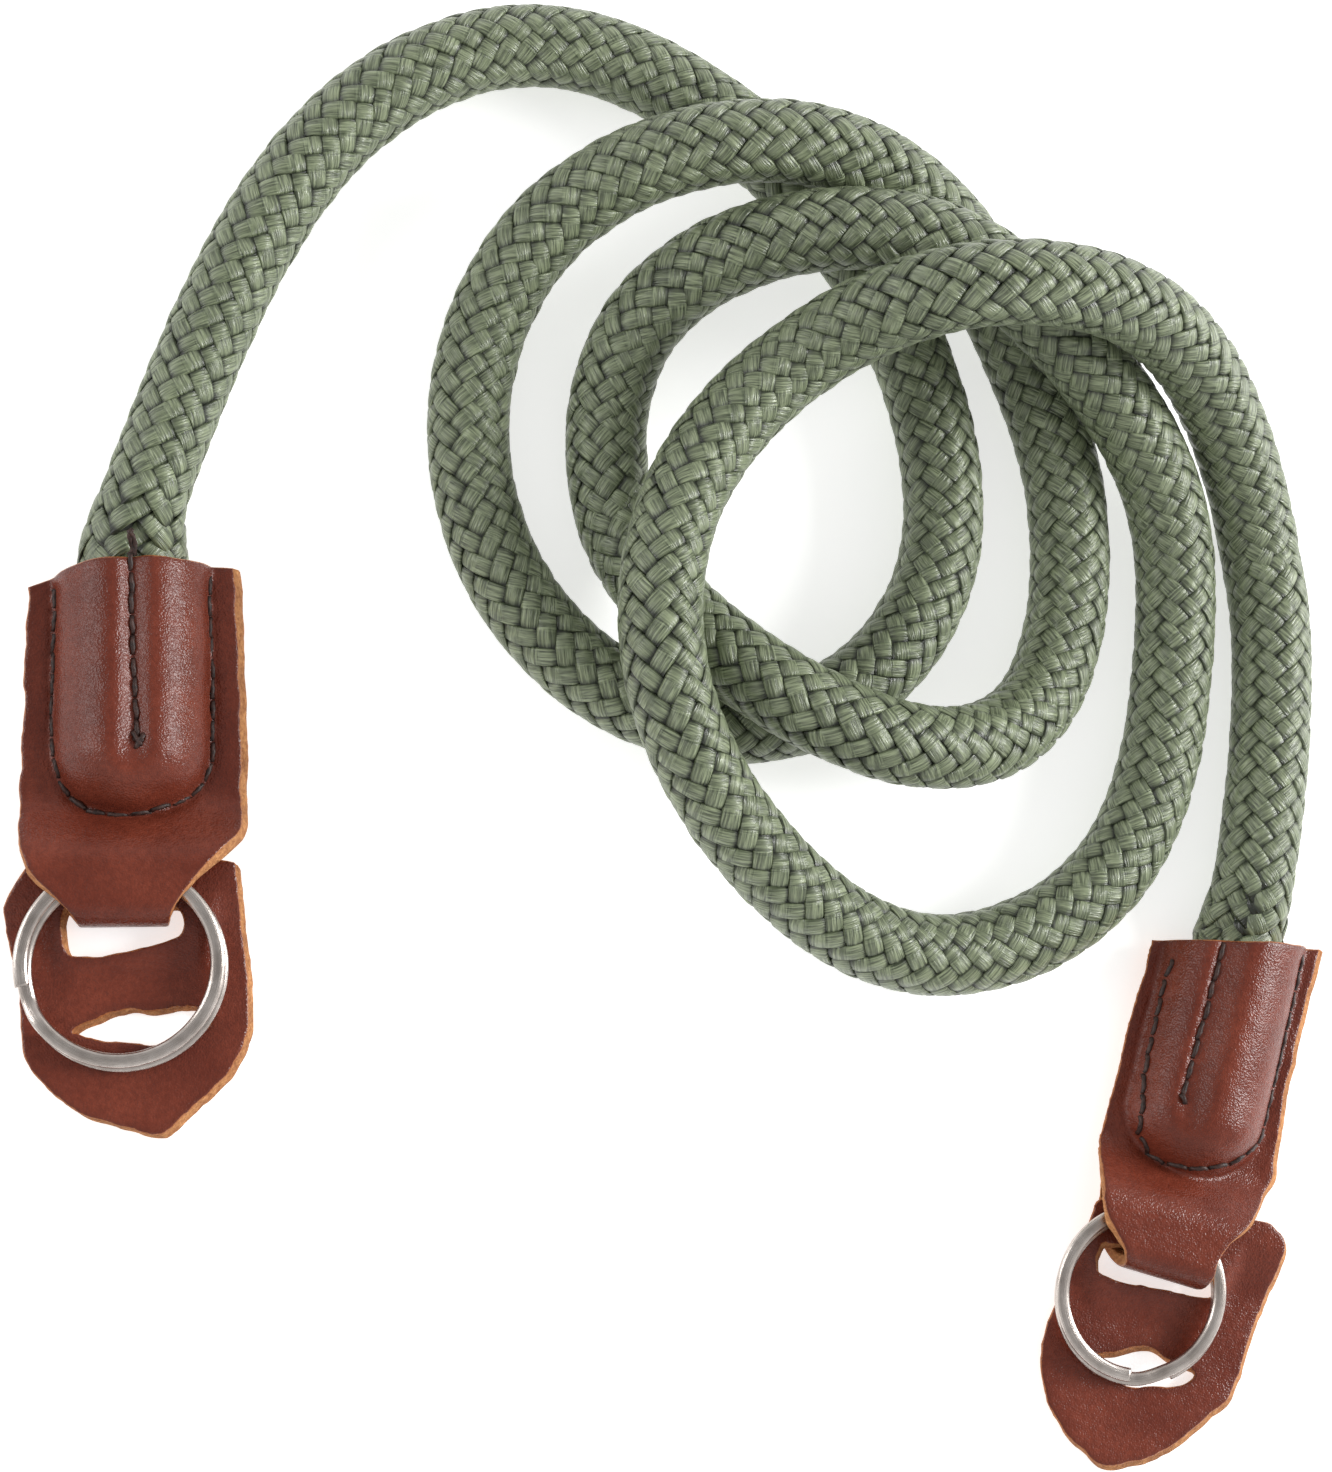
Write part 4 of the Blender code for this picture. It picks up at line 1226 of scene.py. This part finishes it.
def add_ring(end, look):
    """Two turns of wire; the joggle takes the wire from the upper turn to the lower."""
    middle_radius = (end["ring_diameter"] - WIRE_WIDTH) / 2
    pitch = WIRE_HEIGHT + TURN_GAP
    ring_down = EYE_START + EYE_RISE + end["ring_seat"] + end["ring_diameter"] / 2
    high = PAD_LIFT + PAD_LEATHER + RING_CLEARANCE + RING_HEIGHT / 2 + RING_LEAN_ROOM / 2
    low = PAD_LEATHER + RING_CLEARANCE + RING_HEIGHT / 2
    lean = math.atan2(high - low, 2 * middle_radius)
    place = (
        Matrix.Translation((end["ring_side"], -ring_down, (high + low) / 2))
        @ Matrix.Rotation(lean, 4, "X")
        @ Matrix.Rotation(math.radians(end["ring_turn"]), 4, "Z")
    )
    whole = 720.0 - JOGGLE_ANGLE - 2 * JOGGLE_SPARE
    turn = JOGGLE_SPARE + whole * np.linspace(0.0, 1.0, RING_STEPS + 1)
    height = pitch * (0.5 - ramp(turn, 360.0 - JOGGLE_ANGLE, JOGGLE_ANGLE))
    angle = -np.radians(turn)
    around = np.linspace(0.0, 2 * math.pi, WIRE_SIDES, endpoint=False)
    out = squared_off(np.cos(around), WIRE_SIDE_POWER) * WIRE_WIDTH / 2
    up = squared_off(np.sin(around), WIRE_TOP_POWER) * WIRE_HEIGHT / 2
    radius = middle_radius + out
    cos, sin = np.cos(angle)[:, None], np.sin(angle)[:, None]
    points = stack(radius * cos, radius * sin, height[:, None] + up).reshape(-1, 3)
    turned = np.array(place.to_3x3())
    points = points @ turned.T + np.array(place.translation)
    points[:, 1] *= -1.0
    lowered = np.repeat(0.5 - height / pitch, WIRE_SIDES)
    points[:, 0] += TURN_SLIP[0] * lowered
    points[:, 1] += TURN_SLIP[1] * lowered
    body = to_frame(end, points)
    faces = tube_faces(RING_STEPS + 1, WIRE_SIDES)
    name = "ring_wire_" + end["name"]
    piece = add_mesh(name, body, faces, [look], ("split_ring_" + end["name"],))
    keep(piece, "wire", stack(np.radians(turn)[:, None] * middle_radius, out, up))


# Camera, floor and light

FLOOR_REACH = 2.0
FLOOR_LEVEL = -5e-5
FLOOR_GLOW = 0.60
LIGHT_AIM = (0.0, 0.035, 0.0)
# Name, place, size and power of each light
LIGHTS = (
    ("key", (0.91, 0.14, 0.45), 0.40, 9.8),
    ("fill", (-0.90, 0.18, 0.44), 0.45, 2.7),
)
# Two heights in the sky, and its strength below the first and above the second
SKY_LOW = (-0.1, 0.5, 0.40, 1.0)
SKY_HIGH = (0.60, 0.95, 0.78, 0.33)


def add_camera():
    """The camera, from its target, its distance and the way it leans from straight above."""
    tilt, heading = math.radians(CAMERA_TILT), math.radians(CAMERA_HEADING)
    back = Vector((
        math.sin(tilt) * math.cos(heading),
        math.sin(tilt) * math.sin(heading),
        math.cos(tilt),
    ))
    right = Vector((0.0, 1.0, 0.0)).cross(back).normalized()
    up = back.cross(right)
    data = bpy.data.cameras.new("camera")
    data.sensor_fit = "VERTICAL"
    data.sensor_height = SENSOR
    data.lens = FOCAL_PIXELS / IMAGE_HEIGHT * SENSOR
    data.clip_start = 0.01
    camera = bpy.data.objects.new("camera", data)
    turned = Matrix((right, up, back)).transposed().to_4x4()
    turned.translation = (Vector(CAMERA_TARGET) + back * CAMERA_DISTANCE) * MM
    camera.matrix_world = turned
    bpy.context.scene.collection.objects.link(camera)
    bpy.context.scene.camera = camera


def add_floor():
    """White paper that glows a little, so that it stays white round the strap."""
    made, tree, shader = new_look("floor")
    paper = mix(tree, noise_of(tree, place_of(tree), 400.0), *PAPER)
    set_sockets(
        tree, shader, Base_Color=paper, Roughness=0.9, Specular_IOR_Level=0.1,
        Emission_Color=WHITE, Emission_Strength=FLOOR_GLOW,
    )
    mesh = bpy.data.meshes.new("floor")
    corners = np.array([(-1, -1), (1, -1), (1, 1), (-1, 1)]) * FLOOR_REACH
    mesh.from_pydata([(x, y, FLOOR_LEVEL) for x, y in corners.tolist()], [], [(0, 1, 2, 3)])
    mesh.materials.append(made)
    floor = bpy.data.objects.new("floor", mesh)
    bpy.context.scene.collection.objects.link(floor)


def add_light(name, place, size, power):
    """A square soft light aimed at the middle of the strap."""
    data = bpy.data.lights.new(name, "AREA")
    data.size = size
    data.energy = power
    light = bpy.data.objects.new(name, data)
    light.location = place
    aim = Vector(LIGHT_AIM) - Vector(place)
    light.rotation_euler = aim.to_track_quat("-Z", "Y").to_euler()
    bpy.context.scene.collection.objects.link(light)


def add_sky():
    """A white studio, darker towards the floor and overhead."""
    world = bpy.data.worlds.new("studio")
    world.use_nodes = True
    tree = world.node_tree
    place = add_node(tree, "ShaderNodeTexCoord").outputs["Generated"]
    height = add_node(tree, "ShaderNodeSeparateXYZ", None, Vector=place).outputs["Z"]
    low, high = fit(tree, height, *SKY_LOW), fit(tree, height, *SKY_HIGH)
    strength = two_nodes(tree, "MULTIPLY", low, high)
    set_sockets(tree, tree.nodes["Background"], Color=WHITE, Strength=strength)
    bpy.context.scene.world = world


add_camera()
lay = lay_rope()
yarn = yarn_look()
core = add_core(lay, core_look())
strands = add_strands(lay, yarn)
leather = [leather_look(), raw_look()]
thread = thread_look()
metal = metal_look()
for end in (END_LEFT, END_RIGHT):
    add_tab(end, leather)
    add_stitches(end, thread)
    add_pad(end, leather)
    add_ring(end, metal)
add_floor()
add_sky()
for light in LIGHTS:
    add_light(*light)
bpy.context.scene.view_settings.view_transform = "Standard"

bpy.context.view_layer.update()
